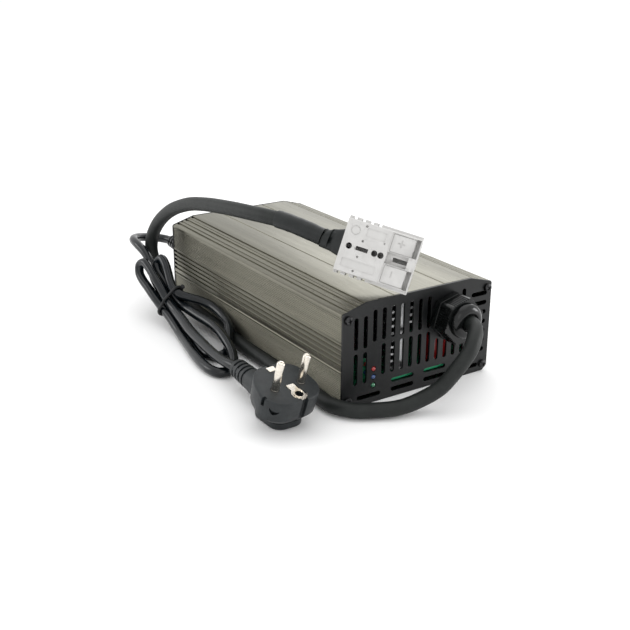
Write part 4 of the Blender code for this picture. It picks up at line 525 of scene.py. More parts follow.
def make_materials():
    """Every finish by a short name, with its colours as sRGB and its scales in millimetres."""
    made = {}

    # Anodised aluminium, extruded: satin, with the die's drawn lines along its length.
    made["case"] = surface(
        "anodised_extruded_aluminium", "#716f64", "#807e72", (0.27, 0.38), 0.5, 0.012,
        metallic=1.0, mottle=5.0, stretch=(1, 0.03, 1),
    )
    # Steel sheet in black powder coat: an even satin with a fine orange peel.
    made["panel"] = surface(
        "powder_coated_steel_sheet", "#08090a", "#0e1011", (0.32, 0.44), 0.7, 0.025, mottle=9.0, ior=1.40,
    )
    # Screw steel, blackened in an oxide bath: dark metal with lighter rubbed patches.
    made["screw"] = surface(
        "black_oxide_steel", "#2a2a2b", "#4a4a4b", (0.28, 0.45), 0.4, 0.01, metallic=1.0, mottle=1.5,
    )
    # Polyamide, injection moulded: a smooth skin that takes a clear highlight.
    made["nylon"] = surface(
        "moulded_polyamide", "#080a0a", "#0e1010", (0.14, 0.21), 0.6, 0.003, mottle=8.0, ior=1.42,
    )
    # Chloroprene rubber, pressed: matt and a little paler where it is dusty.
    made["seal"] = surface("pressed_rubber", "#151617", "#202122", (0.6, 0.8), 0.5, 0.02, mottle=3.0)
    # PVC cord jacket, extruded: a smooth, fairly glossy skin.
    made["jacket"] = surface(
        "extruded_pvc_jacket", "#070b0e", "#0f1519", (0.15, 0.25), 0.6, 0.012, mottle=11.0, ior=1.42,
    )
    # Rubber hose jacket of the thick cable: dull, a little dusty, with a coarser skin.
    made["hose"] = surface(
        "dull_rubber_jacket", "#0e1211", "#171b19", (0.46, 0.62), 0.5, 0.05, mottle=6.0, ior=1.40,
    )
    # Polyolefin shrunk over the cable's end: smoother than the hose, with slack ripples.
    made["shrink"] = surface(
        "shrunk_polyolefin", "#0e1212", "#161a1a", (0.38, 0.50), 3.0, 0.08, mottle=7.0, ior=1.42,
    )
    # Soft PVC of the plug, moulded in a spark-eroded tool: an even fine grain.
    made["plug"] = surface(
        "moulded_soft_pvc", "#14181a", "#1e2325", (0.44, 0.58), 0.45, 0.06, mottle=5.0, ior=1.45,
    )
    # Nickel-plated brass: bright, warm and faintly clouded.
    made["nickel"] = surface(
        "nickel_plated_brass", "#d9d2c6", "#ece6dc", (0.14, 0.24), 0.4, 0.004, metallic=1.0, mottle=2.0,
    )
    # Silver-plated copper: soft white metal with a cloudy tarnish.
    made["silver"] = surface(
        "silver_plated_copper", "#c9c6bf", "#e6e4df", (0.2, 0.34), 0.5, 0.004, metallic=1.0, mottle=3.0,
    )
    # Polycarbonate, injection moulded in pale grey: eggshell, with faint flow clouds.
    made["housing"] = surface(
        "moulded_polycarbonate", "#c0bfbd", "#c8c7c5", (0.36, 0.48), 0.5, 0.012, mottle=7.0, ior=1.58,
    )
    # Aluminium as it left the mill, sawn and drawn: bright with fine lines.
    made["mill"] = surface(
        "mill_finish_aluminium", "#c6c7c8", "#dedfe0", (0.26, 0.40), 0.3, 0.01, metallic=1.0,
        mottle=2.0, stretch=(1, 0.05, 1),
    )
    # Glass and epoxy laminate under green resist: copper tracks show as paler lines.
    made["board"] = patterned(
        surface("glass_epoxy_laminate", "#10603e", "#2b9468", (0.24, 0.36), 0.8, 0.01, coat=0.3),
        "ShaderNodeTexBrick", {"Scale": 1 / (9 * MM), "Mortar Size": 0.06, "Mortar Smooth": 0.1},
        0.4, 0.6, 0.03,
    )
    # Copper wire in clear enamel, wound in close turns two millimetres apart.
    made["copper"] = patterned(
        surface("enamelled_copper_wire", "#6b3417", "#c27a42", (0.22, 0.34), 0.5, 0.01, metallic=1.0),
        "ShaderNodeTexWave", {"Scale": 1 / (6.3 * MM), "Distortion": 0.6, "Detail": 1.0},
        0.2, 0.8, 0.3, bands_direction="Z",
    )
    # Ferrite, pressed and fired: matt charcoal with a sandy speckle.
    made["ferrite"] = surface("fired_ferrite", "#262627", "#3a3a3b", (0.62, 0.8), 0.35, 0.03, mottle=0.8)
    # Shrunk vinyl sleeves of the round capacitors, glossy, with bare aluminium tops.
    made["blue"] = split_at(
        surface("blue_vinyl_sleeve", "#14466a", "#b9bcbe", (0.2, 0.3), 1.0, 0.01, coat=0.3),
        "Z", 36.4, 0.2,
    )
    made["black"] = split_at(
        surface("black_vinyl_sleeve", "#141516", "#b9bcbe", (0.2, 0.3), 1.0, 0.01, coat=0.3),
        "Z", 56.0, 0.2,
    )
    # Epoxy, dipped over a film winding: glossy and slightly uneven.
    made["red"] = surface(
        "dipped_red_epoxy", "#8c1616", "#a31d1c", (0.15, 0.25), 2.5, 0.08, mottle=5.0, coat=0.5,
    )
    # Glass tube between plated caps, as one pale glossy finish.
    made["fuse"] = surface("fuse_glass_and_caps", "#b9bdbd", "#d8dad8", (0.1, 0.2), 1.0, 0.01, coat=0.6)
    # Tinted epoxy lenses of the lamps, clear enough to look wet.
    for tint, dark, light in (
        ("red", "#7c0f10", "#a82624"), ("blue", "#16315f", "#2b4f86"), ("green", "#155c3a", "#33855d"),
    ):
        made[f"lamp_{tint}"] = surface(
            f"tinted_{tint}_epoxy", dark, light, (0.06, 0.12), 1.0, 0.004, mottle=1.2, coat=0.8,
        )
    # Matt white paper sheet under the charger.
    made["paper"] = surface(
        "white_paper_sheet", "#f9f9f9", "#fbfbfb", (0.85, 0.95), 2.0, 0.01, mottle=300.0,
    )
    return made


# Cords.


def build_output_cable(made):
    """The thick cable, and the slightly uneven shrink sleeve over its last stretch."""
    route = spaced(smoothed(OUTPUT_ROUTE), 2.4)
    cable = tube("output_cable", [route], OUTPUT_RADIUS, made["hose"], ["dc_cable"])
    covered = route[-14:]
    swell = []
    for index in range(len(covered)):
        rim = 0.985 if index in (0, len(covered) - 1) else 1.0
        swell.append(rim + 0.012 * math.sin(index * 2.1) + 0.008 * math.sin(index * 0.9))
    sleeve = tube("shrink_sleeve", [covered], SLEEVE_RADIUS, made["shrink"], ["dc_cable_sleeve"], swell)
    return cable, sleeve, route


def cable_end(route):
    """Where the cable ends, its heading there and the direction from one wire to the other."""
    heading = (route[-1] - route[-2]).normalized()
    across = CONNECTOR.to_3x3() @ Vector((0, 1, 0))
    return route[-1], heading, (across - heading * across.dot(heading)).normalized()


def build_output_wires(made, route):
    """The two conductors, from the cable's end into the connector."""
    end, heading, level = cable_end(route)
    along = CONNECTOR.to_3x3() @ Vector((1, 0, 0))
    wires = []
    for pole, side in (("positive", 1), ("negative", -1)):
        leave = end + heading * 0.45 + level * 3.05 * side
        mouth = CONNECTOR @ Vector((-22.85, 4.0 * side, -7.6))
        guide = [leave, leave + heading * 3.0]
        guide += [mouth - along * 2.0, mouth + along * 1.4, mouth + along * 6.7]
        run = spaced(smoothed(guide), 1.2)
        wires.append(tube(f"output_wire_{pole}", [run], WIRE_RADIUS, made["shrink"], [f"dc_wire_{pole}"]))
    return wires


def build_wire_wrap(made, route):
    """The wrap over the two wires, round at the cable and nearly square at the connector."""
    end, heading, level = cable_end(route)
    turned = CONNECTOR.to_3x3()
    across = turned @ Vector((0, 1, 0))
    below = turned @ Vector((0, 0, -1))
    mouth = CONNECTOR @ Vector((-23.0, 0.4, -7.4))
    rings = []
    for step in range(9):
        share = step / 8
        centre = (end + heading * 0.4).lerp(mouth, share)
        wide = level.lerp(across, share).normalized() * (4.2 + 4.4 * share ** 0.8)
        thick = heading.cross(level).lerp(below, share).normalized() * (4.2 - 0.6 * share)
        squared = 1 - 0.35 * share
        ring = []
        for angle in (TURN * i / 40 for i in range(40)):
            flat = [math.copysign(abs(f) ** squared, f) for f in (math.cos(angle), math.sin(angle))]
            ring.append(centre + wide * flat[0] + thick * flat[1])
        rings.append(ring)
    bm = bmesh.new()
    loft(bm, rings)
    return show("wire_wrap", bm, made["shrink"], [], edge=0.3)


def build_mains_cord(made):
    """The mains cord in one run, and its points for the tie."""
    route = spaced(smoothed(MAINS_ROUTE), 1.6)
    nodes = ["mains_cord_tail", "mains_cord_bundle", "mains_cord_lead"]
    return tube("mains_cord", [route], MAINS_RADIUS, made["jacket"], nodes), route


def build_tie(made, route):
    """A thin tie drawn round the five runs of the cord, with its two ends twisted off."""
    origin = Vector((-82.0, 69.0, 18.5))
    normal = Vector((0.1, -0.95, -0.3)).normalized()
    u = Vector((1, 0, 0))
    u = (u - normal * u.dot(normal)).normalized()
    v = normal.cross(u)
    hits = []
    for first, second in zip(route, route[1:]):
        before = (first - origin).dot(normal)
        after = (second - origin).dot(normal)
        if before * after <= 0 and before != after:
            point = first.lerp(second, before / (before - after))
            if (point - origin).length < 16:
                hits.append(((point - origin).dot(u), (point - origin).dot(v)))
    loop = []
    for step in range(96):
        angle = TURN * step / 96
        aim = Vector((math.cos(angle), math.sin(angle)))
        far = max(hits, key=lambda hit: Vector(hit).dot(aim))
        flat = Vector(far) + aim * (MAINS_RADIUS + TIE_RADIUS)
        loop.append(origin + u * flat.x + v * flat.y)
    knot = loop[8]
    out = (knot - origin).normalized()
    ends = []
    for side in (-1, 1):
        end = []
        for step in range(7):
            share = step / 6
            twist = share * 4.0 + side * 1.57
            swing = u.cross(out) * math.cos(twist) * 0.9 + normal * math.sin(twist) * 0.9
            end.append(knot + out * (0.4 + 1.6 * share) + swing)
        ends.append(end)
    return tube("cord_twist_tie", [loop] + ends, TIE_RADIUS, made["seal"], ["cord_tie"], closed=True)


# Case.


def ribbed(low, high):
    """The side wall between two heights, with shallow drawn ribs."""
    count = int((high - low) / RIB_PITCH)
    start = low + ((high - low) - count * RIB_PITCH) / 2
    points = []
    for rib in range(count):
        z = start + rib * RIB_PITCH
        points += [(SIDE, z + 0.15), (SIDE - RIB_DEPTH, z + 0.4)]
        points += [(SIDE - RIB_DEPTH, z + 0.8), (SIDE, z + 1.05)]
    return points


def grooved(start, along, grooves):
    """Round-floored grooves in a straight side: distance from its start, width and depth."""
    start = Vector(start)
    along = Vector(along).normalized()
    inwards = Vector((-along.y, along.x))
    shape = ((-1, 0), (-0.8, 0.55), (-0.6, 0.9), (-0.3, 1), (0.3, 1), (0.6, 0.9), (0.8, 0.55), (1, 0))
    points = []
    for centre, width, depth in grooves:
        for offset, drop in shape:
            points.append(tuple(start + along * (centre + offset * width / 2) + inwards * drop * depth))
    return points


def mirrored(points):
    return [(-x, z) for x, z in reversed(points)]


def build_case(made):
    """The upper and the lower extrusion, which slide into each other low on the sides."""
    slope = Vector((TOP_EDGE - SIDE, TOP - SHOULDER))
    rate = slope.length / (SIDE - TOP_EDGE)
    outer = [(57.4, 25.15), (SIDE, 25.75)]
    outer += grooved((SIDE, 0), (0, 1), [(29.2 + 3.2 * i, 1.9, 1.2) for i in range(5)])
    outer += ribbed(43.6, 60.4) + [(SIDE, 60.7), (57.86, 61.3), (57.13, 61.84)]
    shoulder = [(54.0, 1.9, 1.1), (50.9, 1.3, 0.7), (47.4, 2.0, 1.1), (44.9, 0.9, 0.5), (42.4, 1.8, 1.1)]
    outer += grooved((SIDE, SHOULDER), slope, [((SIDE - x) * rate, w, d) for x, w, d in shoulder])
    outer += [(TOP_EDGE, TOP)] + grooved((TOP_EDGE, TOP), (-1, 0), [(TOP_EDGE - 19.5, 1.1, 0.6)])
    inner = [(40.07, 64.1), (55.6, 59.78), (55.6, 23.15), (56.6, 23.15), (56.6, 25.15)]
    bm = bmesh.new()
    draw(bm, outer + mirrored(outer) + mirrored(inner) + inner, SECTION, -SHELL_END, SHELL_END)
    show("upper_extrusion", bm, made["case"], ["upper_shell"], edge=0.12, sharp=38)

    outer = [(54.5, 0.0), (SIDE, FOOT)] + ribbed(4.2, 23.8) + [(SIDE, 24.25), (57.4, 24.85)]
    rail = [(55.6, 12.9), (53.1, 12.9), (53.1, 11.9), (55.6, 11.9)]
    rail += [(55.6, 9.5), (53.1, 9.5), (53.1, 8.5), (55.6, 8.5)]
    inner = [(56.9, 24.85), (56.9, 22.55), (55.6, 22.55)] + rail + [(55.6, 4.49), (53.5, 2.4)]
    bm = bmesh.new()
    draw(bm, outer + inner + mirrored(inner) + mirrored(outer), SECTION, -SHELL_END, SHELL_END)
    show("lower_extrusion", bm, made["case"], ["lower_shell"], edge=0.12, sharp=38)


def panel_outline():
    right = [(54.5, 0.0), (SIDE, FOOT), (SIDE, 60.7), (57.13, 61.84), (TOP_EDGE, TOP)]
    return right + mirrored(right)


def front_slots():
    """Two rows of upright slots, cleared round the gland and lamps, and the level slots."""
    ends = []
    for column in range(13):
        x = -48.2 + 6.93 * column
        drop = 2.8 if column < 2 else 0.0
        at_gland = 11.65 < x < 34.75
        if not at_gland:
            ends.append(((x, 40.15 - drop), (x, 60.7 - drop)))
        if column != 2:
            top = 31.5 if at_gland else 37.55
            ends.append(((x, 17.0 - drop), (x, top - drop)))
    for level in range(7):
        z = 15.8 + 6.47 * level
        ends.append(((41.4, z), (54.3, z)))
    foot = ((-46.9, -29.175), (-20.975, -3.25), (4.75, 22.475), (32.275, 50.0))
    ends += [((left, 5.2), (right, 5.2)) for left, right in foot]
    ends += [((left, 11.2), (right, 11.2)) for left, right in foot[1:-1]]
    return [slot(start, end, SLOT_WIDTH) for start, end in ends]


def guard_slots():
    """Rings of bent slots over the fan, each cut into four by its bridges."""
    loops = []
    half = 1.6
    for radius in (8, 14, 20, 26):
        bridge = 3.3 / radius
        for quarter in range(4):
            start = quarter * TURN / 4 + bridge
            end = (quarter + 1) * TURN / 4 - bridge
            tips = []
            for angle, sign in ((end, 1), (start, -1)):
                centre = (FAN_X + radius * math.cos(angle), FAN_Z + radius * math.sin(angle))
                first = angle if sign > 0 else angle + TURN / 2
                tips.append(arc(centre, half, first, first + TURN / 2, 6)[1:-1])
            outer = arc((FAN_X, FAN_Z), radius + half, start, end, 4 + radius)
            inner = arc((FAN_X, FAN_Z), radius - half, end, start, 4 + radius)
            loops.append(outer + tips[0] + inner + tips[1])
    return loops


def fan_holes():
    """The places of the fan's four screws."""
    reach = FAN_SCREW_REACH
    return [(FAN_X + i * reach, FAN_Z + j * reach) for i in (-1, 1) for j in (-1, 1)]


def build_panels(made):
    """The slotted front sheet and the rear sheet with the fan's guard."""
    lamps = [circle((LAMP_X, z), 1.8, 24) for _, z in LAMPS]
    bm = bmesh.new()
    draw(bm, panel_outline(), SECTION, -REAR, PANEL - REAR, front_slots() + lamps)
    show("front_sheet", bm, made["panel"], ["front_panel"], edge=0.18, sharp=40)
    bush = [circle((BUSH_X, BUSH_Z), 7.2, 40)]
    bm = bmesh.new()
    draw(bm, panel_outline(), SECTION, REAR - PANEL, REAR, guard_slots() + bush)
    show("rear_sheet", bm, made["panel"], ["rear_panel"], edge=0.18, sharp=40)


def pan_head():
    """A pan-head screw at the origin, head up, with a cross recess."""
    profile = [(0.0, -10.0), (1.2, -10.0), (1.45, -9.6), (1.45, 0.3), (2.5, 0.3), (2.7, 0.5)]
    profile += [(2.7, 0.95), (2.6, 1.35), (2.3, 1.75), (1.7, 2.0), (0.9, 2.1), (0.0, 2.12)]
    head = bmesh.new()
    turn(head, profile, FLAT, 32)
    return carve(head, FLAT, 3.0, [(cross_outline(1.5, 0.32), 1.0)])


def build_screws(made):
    """Four screws in each sheet and four through the fan, each turned by another angle."""
    pattern = bpy.data.meshes.new("pan_head_pattern")
    head = pan_head()
    head.to_mesh(pattern)
    head.free()
    corners = [(sign * x, z) for x, z in ((54.2, 57.8), (53.8, 5.0)) for sign in (-1, 1)]
    places = [(f"panel_screw_front_{i}", x, -REAR, z, -1) for i, (x, z) in enumerate(corners, 1)]
    places += [(f"panel_screw_rear_{i}", x, REAR, z, 1) for i, (x, z) in enumerate(corners, 1)]
    places += [(f"fan_screw_{i}", x, REAR, z, 1) for i, (x, z) in enumerate(fan_holes(), 1)]
    for index, (node, x, y, z, facing) in enumerate(places):
        spin = math.radians(37 * index)
        place = rows_at((x, y, z), (0, facing, 0), (math.cos(spin), 0, math.sin(spin)))
        bm = bmesh.new()
        bm.from_mesh(pattern)
        bmesh.ops.transform(bm, matrix=place, verts=bm.verts)
        show(node + "_cross", bm, made["screw"], [node], sharp=30)
    bpy.data.meshes.remove(pattern)


def build_lamps(made):
    """Three flanged lenses, their round tips in the holes of the front sheet."""
    profile = [(0.0, -8.6), (1.5, -8.6), (1.5, -5.5), (1.9, -5.5), (1.9, -4.5), (1.5, -4.5)]
    profile += arc((0.0, -0.7), 1.5, 0.0, TURN / 4, 8)[:-1] + [(0.0, 0.8)]
    for tint, z in LAMPS:
        bm = bmesh.new()
        turn(bm, profile, rows_at((LAMP_X, -REAR, z), (0, -1, 0), (1, 0, 0)), 32)
        show(f"lamp_lens_{tint}", bm, made[f"lamp_{tint}"], [f"led_{tint}"])


# Cable gland.


def hexagon(flats, ribs=0, depth=0.0):
    """A hexagon by its width across flats, a corner on the first axis, with ribs on each flat."""
    angles = [TURN * i / 6 for i in range(6)]
    corners = [Vector((math.cos(a), math.sin(a))) * flats / math.sqrt(3) for a in angles]
    points = []
    for i, corner in enumerate(corners):
        after = corners[(i + 1) % 6]
        out = (corner + after).normalized()
        points.append(tuple(corner.lerp(after, 0.04)))
        for rib in range(ribs):
            for share, drop in ((0.0, 0), (0.2, 1), (0.5, 1), (0.7, 0)):
                place = corner.lerp(after, 0.12 + 0.76 * (rib + share) / ribs)
                points.append(tuple(place - out * drop * depth))
        points.append(tuple(corner.lerp(after, 0.96)))
    return points


def build_gland(made):
    """The body with its flange and thread, the domed nut, and the seal with its fingers."""
    nut = GLAND @ Matrix.Translation((-1.0, -0.6, 0.0))
    bm = bmesh.new()
    draw(bm, hexagon(GLAND_FLATS), nut, 0.3, 5.3)
    barrel = [(5.5, -10.5), (9.3, -10.5), (9.3, 0.3), (8.6, 5.3)]
    for thread in range(4):
        barrel += [(8.6, 5.4 + thread * 1.6), (8.1, 6.0 + thread * 1.6)]
    barrel += [(8.6, 12.0), (8.2, 12.3), (5.5, 12.3)]
    turn(bm, barrel, GLAND, 48, ring=True)
    show("gland_flange", bm, made["nylon"], ["gland_body"], edge=0.45, sharp=40)

    bm = bmesh.new()
    draw(bm, hexagon(GLAND_FLATS, 8, 0.7), nut, 5.6, 15.4)
    dome = [(10.8, 14.8), (10.9, 15.5), (10.9, 15.7), (11.3, 15.9)]
    for step in range(17):
        angle = TURN / 4 * step / 16
        dome.append((6.5 + 4.9 * math.cos(angle), 16.1 + 4.7 * math.sin(angle)))
    dome += [(6.1, 20.6), (5.9, 20.2), (6.1, 19.6), (7.4, 19.4), (7.4, 14.8)]
    turn(bm, dome, GLAND, 72, ring=True)
    show("gland_cap", bm, made["nylon"], ["gland_dome_nut"], edge=0.1, sharp=40)

    bm = bmesh.new()
    grip = [(5.1, 12.6), (7.1, 12.6), (7.1, 18.2), (6.8, 18.7), (5.4, 18.9), (5.1, 18.6)]
    turn(bm, grip, GLAND, 48, ring=True)
    finger = [(6.55, -0.62), (7.3, -0.7), (7.3, 0.7), (6.55, 0.62)]
    for step in range(12):
        draw(bm, finger, GLAND @ Matrix.Rotation(TURN * step / 12, 4, "Z"), 14.0, 19.3)
    show("gland_grip", bm, made["seal"], ["gland_seal"], edge=0.1)


def build_cord_bush(made):
    """The bush in the rear sheet, with a ribbed sleeve that tapers along the cord."""
    profile = [(3.6, -4.8), (6.6, -4.8), (7.7, -1.8), (6.9, -1.8), (6.9, 0.3), (8.5, 0.3)]
    profile += [(8.5, 2.2), (8.3, 2.6), (7.9, 2.8)]
    for rib in range(5):
        radius = 6.0 - 0.3 * rib
        low = 2.8 + 4.4 * rib
        profile += [(radius - 1.0, low + 0.2), (radius - 1.0, low + 1.4), (radius - 0.15, low + 1.7)]
        profile += [(radius, low + 2.0), (radius - 0.05, low + 3.9), (radius - 0.25, low + 4.25)]
    profile += [(4.2, 24.8), (3.6, 24.8)]
    bm = bmesh.new()
    turn(bm, profile, BUSH, 40, ring=True)
    show("cord_bush", bm, made["nylon"], ["cord_strain_relief"], edge=0.1)


# Power connector.


def build_connector(made):
    """The housing, cut with its dots, keys, pads, blank recesses and polarity signs."""
    places = [(-11.0, 14.0, 0.75), (-10.9, 4.9, 0.75), (-11.3, -4.9, 0.75), (-11.3, -13.7, 0.75)]
    places += [(1.8, 7.3, 0.5)]
    dots = [(circle((u, v), radius, 20), -1.6) for u, v, radius in places]
    keys = [(circle((u, 0.0), 1.9, 32), -13.0) for u in (-18.1, -2.3, 1.6)]
    keys.append((rounded((-13.9, -6.3), (-1.25, 1.25), 0.15, 2), -13.0))
    keys.append((rounded((9.4, 17.4), (-1.2, 1.2), 0.2, 2), -14.2))
    pads = []
    for low, high in ((-15.1, -3.9), (3.9, 15.1)):
        island = rounded((5.85, 19.05), (low + 0.4, high - 0.4), 0.5, 3)
        pads.append((rounded((5.4, 19.5), (low, high), 0.7, 3), -1.2, island))
    recesses = [
        (circle((-16.8, 10.0), 2.8, 40), -0.3, circle((-16.8, 10.0), 2.35, 40)),
        (rounded((-10.2, 1.6), (8.1, 13.4), 0.6), -0.45),
        (rounded((-19.8, 1.0), (-12.7, -7.5), 0.6), -0.45),
        (cross_outline(2.2, 0.4, (11.5, 10.1)), -0.95),
        (rounded((10.6, 11.4), (-10.7, -6.9), 0.1, 2), -0.95),
    ]
    bm = welded("connector_housing")
    for marks in (dots, keys, pads, recesses):
        bm = carve(bm, CONNECTOR, 1.0, marks)
    return show("connector_shell", bm, made["housing"], ["connector_housing"], edge=0.28, sharp=40)


def build_contacts(made):
    """The two blades inside the connector."""
    pieces = []
    for pole in ("positive", "negative"):
        node = f"connector_contact_{pole}"
        pieces.append(show(f"contact_blade_{pole}", welded(node), made["silver"], [node], edge=0.2))
    return pieces


# Mains plug.


def plug_ring(inset, depth, share=1.0):
    """The plug's outline at a depth below its face."""
    outline = rounded((-21.0 + inset, 19.0 - inset), (-15.0 + inset, 21.0 - inset), 13.5 - inset, 12)
    drawn_in = [(u * (1 - 0.36 * v / 21.0) if u < 0 < v else u, v) for u, v in outline]
    return [PLUG @ Vector((u * share, v * share, -depth)) for u, v in drawn_in]


def foot_ring(share, height):
    """The outline of the plug's foot at a height, drawn in to a share about its middle."""
    middle = Vector((-95.5, -100.5, 0.0))
    outline = rounded((-106.0, -85.0), (-115.5, -85.5), 8.0, 12)
    return [middle + (Vector((x, y, 0)) - middle) * share + Vector((0, 0, height)) for x, y in outline]


def plug_rings():
    """The plug's body from its lipped foot, up its tapered waist, to the round rim of its face."""
    lip = ((0.92, 0.0), (0.98, 0.588), (1.0, 1.5), (1.0, 4.1), (0.95, 4.7))
    rings = [foot_ring(share, height) for share, height in lip]
    start = foot_ring(1.0, 4.4)
    waist = plug_ring(0.0, 13.0, 0.97)
    for share in (0.2, 0.4, 0.6, 0.8):
        eased = share * share * (3 - 2 * share) * 0.4 + share * 0.6
        rings.append([low.lerp(high, eased) for low, high in zip(start, waist)])
    rings += [waist, plug_ring(0.0, 7.0, 0.99)]
    for step in range(5):
        angle = TURN / 4 * step / 4
        rings.append(plug_ring(1.2 * (1 - math.cos(angle)), 1.2 * (1 - math.sin(angle))))
    return rings


def draw_boot(bm):
    """The boot that leads the cord out, with four grooves and two spines."""
    profile = [(0.0, -2.0), (7.6, 0.0), (7.6, 16.0), (6.9, 22.0)]
    for groove in range(4):
        low = 24.2 + groove * 4.7
        rim = 6.9 - 0.17 * groove
        profile += [(rim, low), (4.1, low + 0.15), (4.0, low + 1.8), (rim - 0.05, low + 2.0)]
    profile += [(6.2, 42.6), (6.0, 43.5), (5.3, 43.8), (0.0, 43.8)]
    turn(bm, profile, BOOT, 48)
    for quarter in (1, 3):
        spine = BOOT @ Matrix.Rotation(TURN * quarter / 4 + 0.5, 4, "Z")
        draw(bm, [(3.0, -1.5), (6.05, -1.5), (6.2, 0.0), (6.05, 1.5), (3.0, 1.5)], spine, 23.0, 42.4)


def build_plug_body(made):
    """The moulded body, cut with its holes, notches, crescent and the seats of the earth strip."""
    holes = [(circle((1.5, -8.7), 2.6, 32), -19.0)]
    holes += [(circle((side * PIN_REACH, 0.0), 2.7, 32), -3.3) for side in (-1, 1)]
    notches = [(rounded((-0.6, 3.6), span, 0.4, 3), -18.0) for span in ((-17.0, -12.4), (18.6, 23.0))]
    wall = rows_at(PLUG @ Vector((-17.2, -10.4, -6.0)), PLUG.to_3x3() @ Vector((-0.75, -0.66, 0)), (0, 0, 1))
    crescent = [(-3.4, 1.4), (-2.3, -0.5), (-0.9, -1.8), (0.5, -2.3), (1.9, -1.4), (2.9, 0.0), (3.5, 1.6)]
    crescent += [(2.2, 0.7), (0.9, 0.3), (-0.9, 0.4), (-2.2, 0.8)]
    bm = bmesh.new()
    loft(bm, plug_rings())
    bm = carve(bm, PLUG, 2.0, holes)
    bm = carve(bm, PLUG, 2.0, notches)
    bm = carve(bm, wall @ Matrix.Rotation(TURN * 0.675, 4, "Z"), 3.0, [(crescent, -2.17)])
    bm = carve(bm, PLUG, 3.0, [(rounded((-1.87, 4.87), (-12.93, 0.87), 0.3, 3), -0.95)])
    bm = carve(bm, PLUG, 3.0, [(rounded((-23.0, -18.43), (-5.0, -2.83), 0.3, 3), -5.03)])
    draw_boot(bm)
    return show("plug_moulding", bm, made["plug"], ["plug_body"], edge=0.22, sharp=40)


def build_plug_pins(made):
    """Two turned pins with a dimple in their tips."""
    profile = [(0.0, -3.0), (2.4, -3.0), (2.4, 0.4), (2.35, 0.5), (2.35, 0.8), (2.4, 0.9), (2.4, 17.7)]
    profile += [(2.25, 18.4), (1.9, 18.8), (1.5, 18.96), (0.55, 19.0), (0.48, 18.9), (0.4, 18.0), (0.0, 17.9)]
    pins = []
    for node, side in (("plug_pin_left", -1), ("plug_pin_right", 1)):
        bm = bmesh.new()
        turn(bm, profile, PLUG @ Matrix.Translation((side * PIN_REACH, 0, 0)), 36)
        pins.append(show(node + "_turned", bm, made["nickel"], [node], sharp=40))
    return pins


def build_earth_parts(made):
    """The pressed earth strip, trimmed and toothed, and the clip at the plug's other side."""
    strip = welded("plug_earth_strip")
    for level, facing in (((0, 0, -1.4), (0, 0, -1)), ((0, 0.5, 0), (0, 1, 0))):
        bmesh.ops.bisect_plane(
            strip, geom=strip.verts[:] + strip.edges[:] + strip.faces[:], plane_co=PLUG @ Vector(level),
            plane_no=PLUG.to_3x3() @ Vector(facing), clear_outer=True,
        )
        bmesh.ops.holes_fill(strip, edges=[edge for edge in strip.edges if edge.is_boundary])
    teeth = [(circle((-0.9 + 1.2 * tooth, -12.95), 0.42, 12), -3.0) for tooth in range(5)]
    strip = carve(strip, PLUG, 2.0, teeth)
    clip = welded("plug_earth_clip")
    draw(clip, rounded((-2.4, 2.9), (14.4, 18.4), 0.3, 3), PLUG, -0.3, 0.5)
    return [
        show("earth_strip_pressed", strip, made["nickel"], ["plug_earth_strip"], edge=0.06, sharp=40),
        show("earth_clip_pressed", clip, made["nickel"], ["plug_earth_clip"], edge=0.14, sharp=40),
    ]


# Fan.


def blade_rings(blade):
    """Sections of one blade from the hub outwards, cambered, and flatter towards the tip."""
    rings = []
    for section in range(9):
        share = section / 8
        radius = 11.8 + (27.3 - 11.8) * share
        pitch = math.radians(42 - 14 * share)
        around = TURN * blade / 7 + 0.22 * share
        ring = []
        for side, spans in ((1, range(-5, 6)), (-1, range(5, -6, -1))):
            for span in spans:
                along = span / 10 * 15.0
                thick = 0.6 * (1 - (span / 5) ** 4 * 0.6)
                across = side * thick + 1.6 * (1 - (span / 5) ** 2)
                tangent = along * math.cos(pitch) - across * math.sin(pitch)
                axial = along * math.sin(pitch) + across * math.cos(pitch)
                angle = around + tangent / radius
                x = FAN_X + radius * math.cos(angle)
                z = FAN_Z + radius * math.sin(angle)
                ring.append((x, FAN_MIDDLE + axial, z))
        rings.append(ring)
    return rings


def build_fan(made):
    """The frame with its motor seat and four struts, and the rotor that turns in it."""
    outline = rounded((FAN_X - FAN_HALF, FAN_X + FAN_HALF), (FAN_Z - FAN_HALF, FAN_Z + FAN_HALF), 4.0)
    holes = [circle((FAN_X, FAN_Z), 28.3, 96)]
    holes += [circle(hole, 1.75, 24) for hole in fan_holes()]
    bm = bmesh.new()
    draw(bm, outline, SECTION, FAN_FRONT, SHELL_END, holes)
    shaft = circle((FAN_X, FAN_Z), 1.8, 24)
    draw(bm, circle((FAN_X, FAN_Z), 12.0, 64), SECTION, SHELL_END - 3.0, SHELL_END, [shaft])
    strut = ((11.0, -1.5), (29.5, -1.5), (29.5, 1.5), (11.0, 1.5))
    for quarter in range(4):
        turned = Matrix.Rotation(TURN * (quarter + 0.5) / 4, 2)
        outline = [tuple(turned @ Vector(corner) + Vector((FAN_X, FAN_Z))) for corner in strut]
        draw(bm, outline, SECTION, 108.1, 110.3)
    show("fan_housing", bm, made["nylon"], ["fan_frame"], edge=0.3, sharp=40)

    hub = [(0.0, -5.5), (10.8, -5.5), (11.8, -5.3), (12.6, -4.8), (13.0, -4.0), (13.0, 5.3), (12.8, 5.5)]
    hub += [(1.5, 5.5), (1.5, 7.8), (1.3, 8.0), (0.0, 8.0)]
    bm = bmesh.new()
    turn(bm, hub, rows_at((FAN_X, FAN_MIDDLE, FAN_Z), (0, 1, 0), (1, 0, 0)), 64)
    for blade in range(7):
        loft(bm, blade_rings(blade))
    show("fan_impeller", bm, made["nylon"], ["fan_rotor"], sharp=35, body="fan")


# Board and what stands on it.


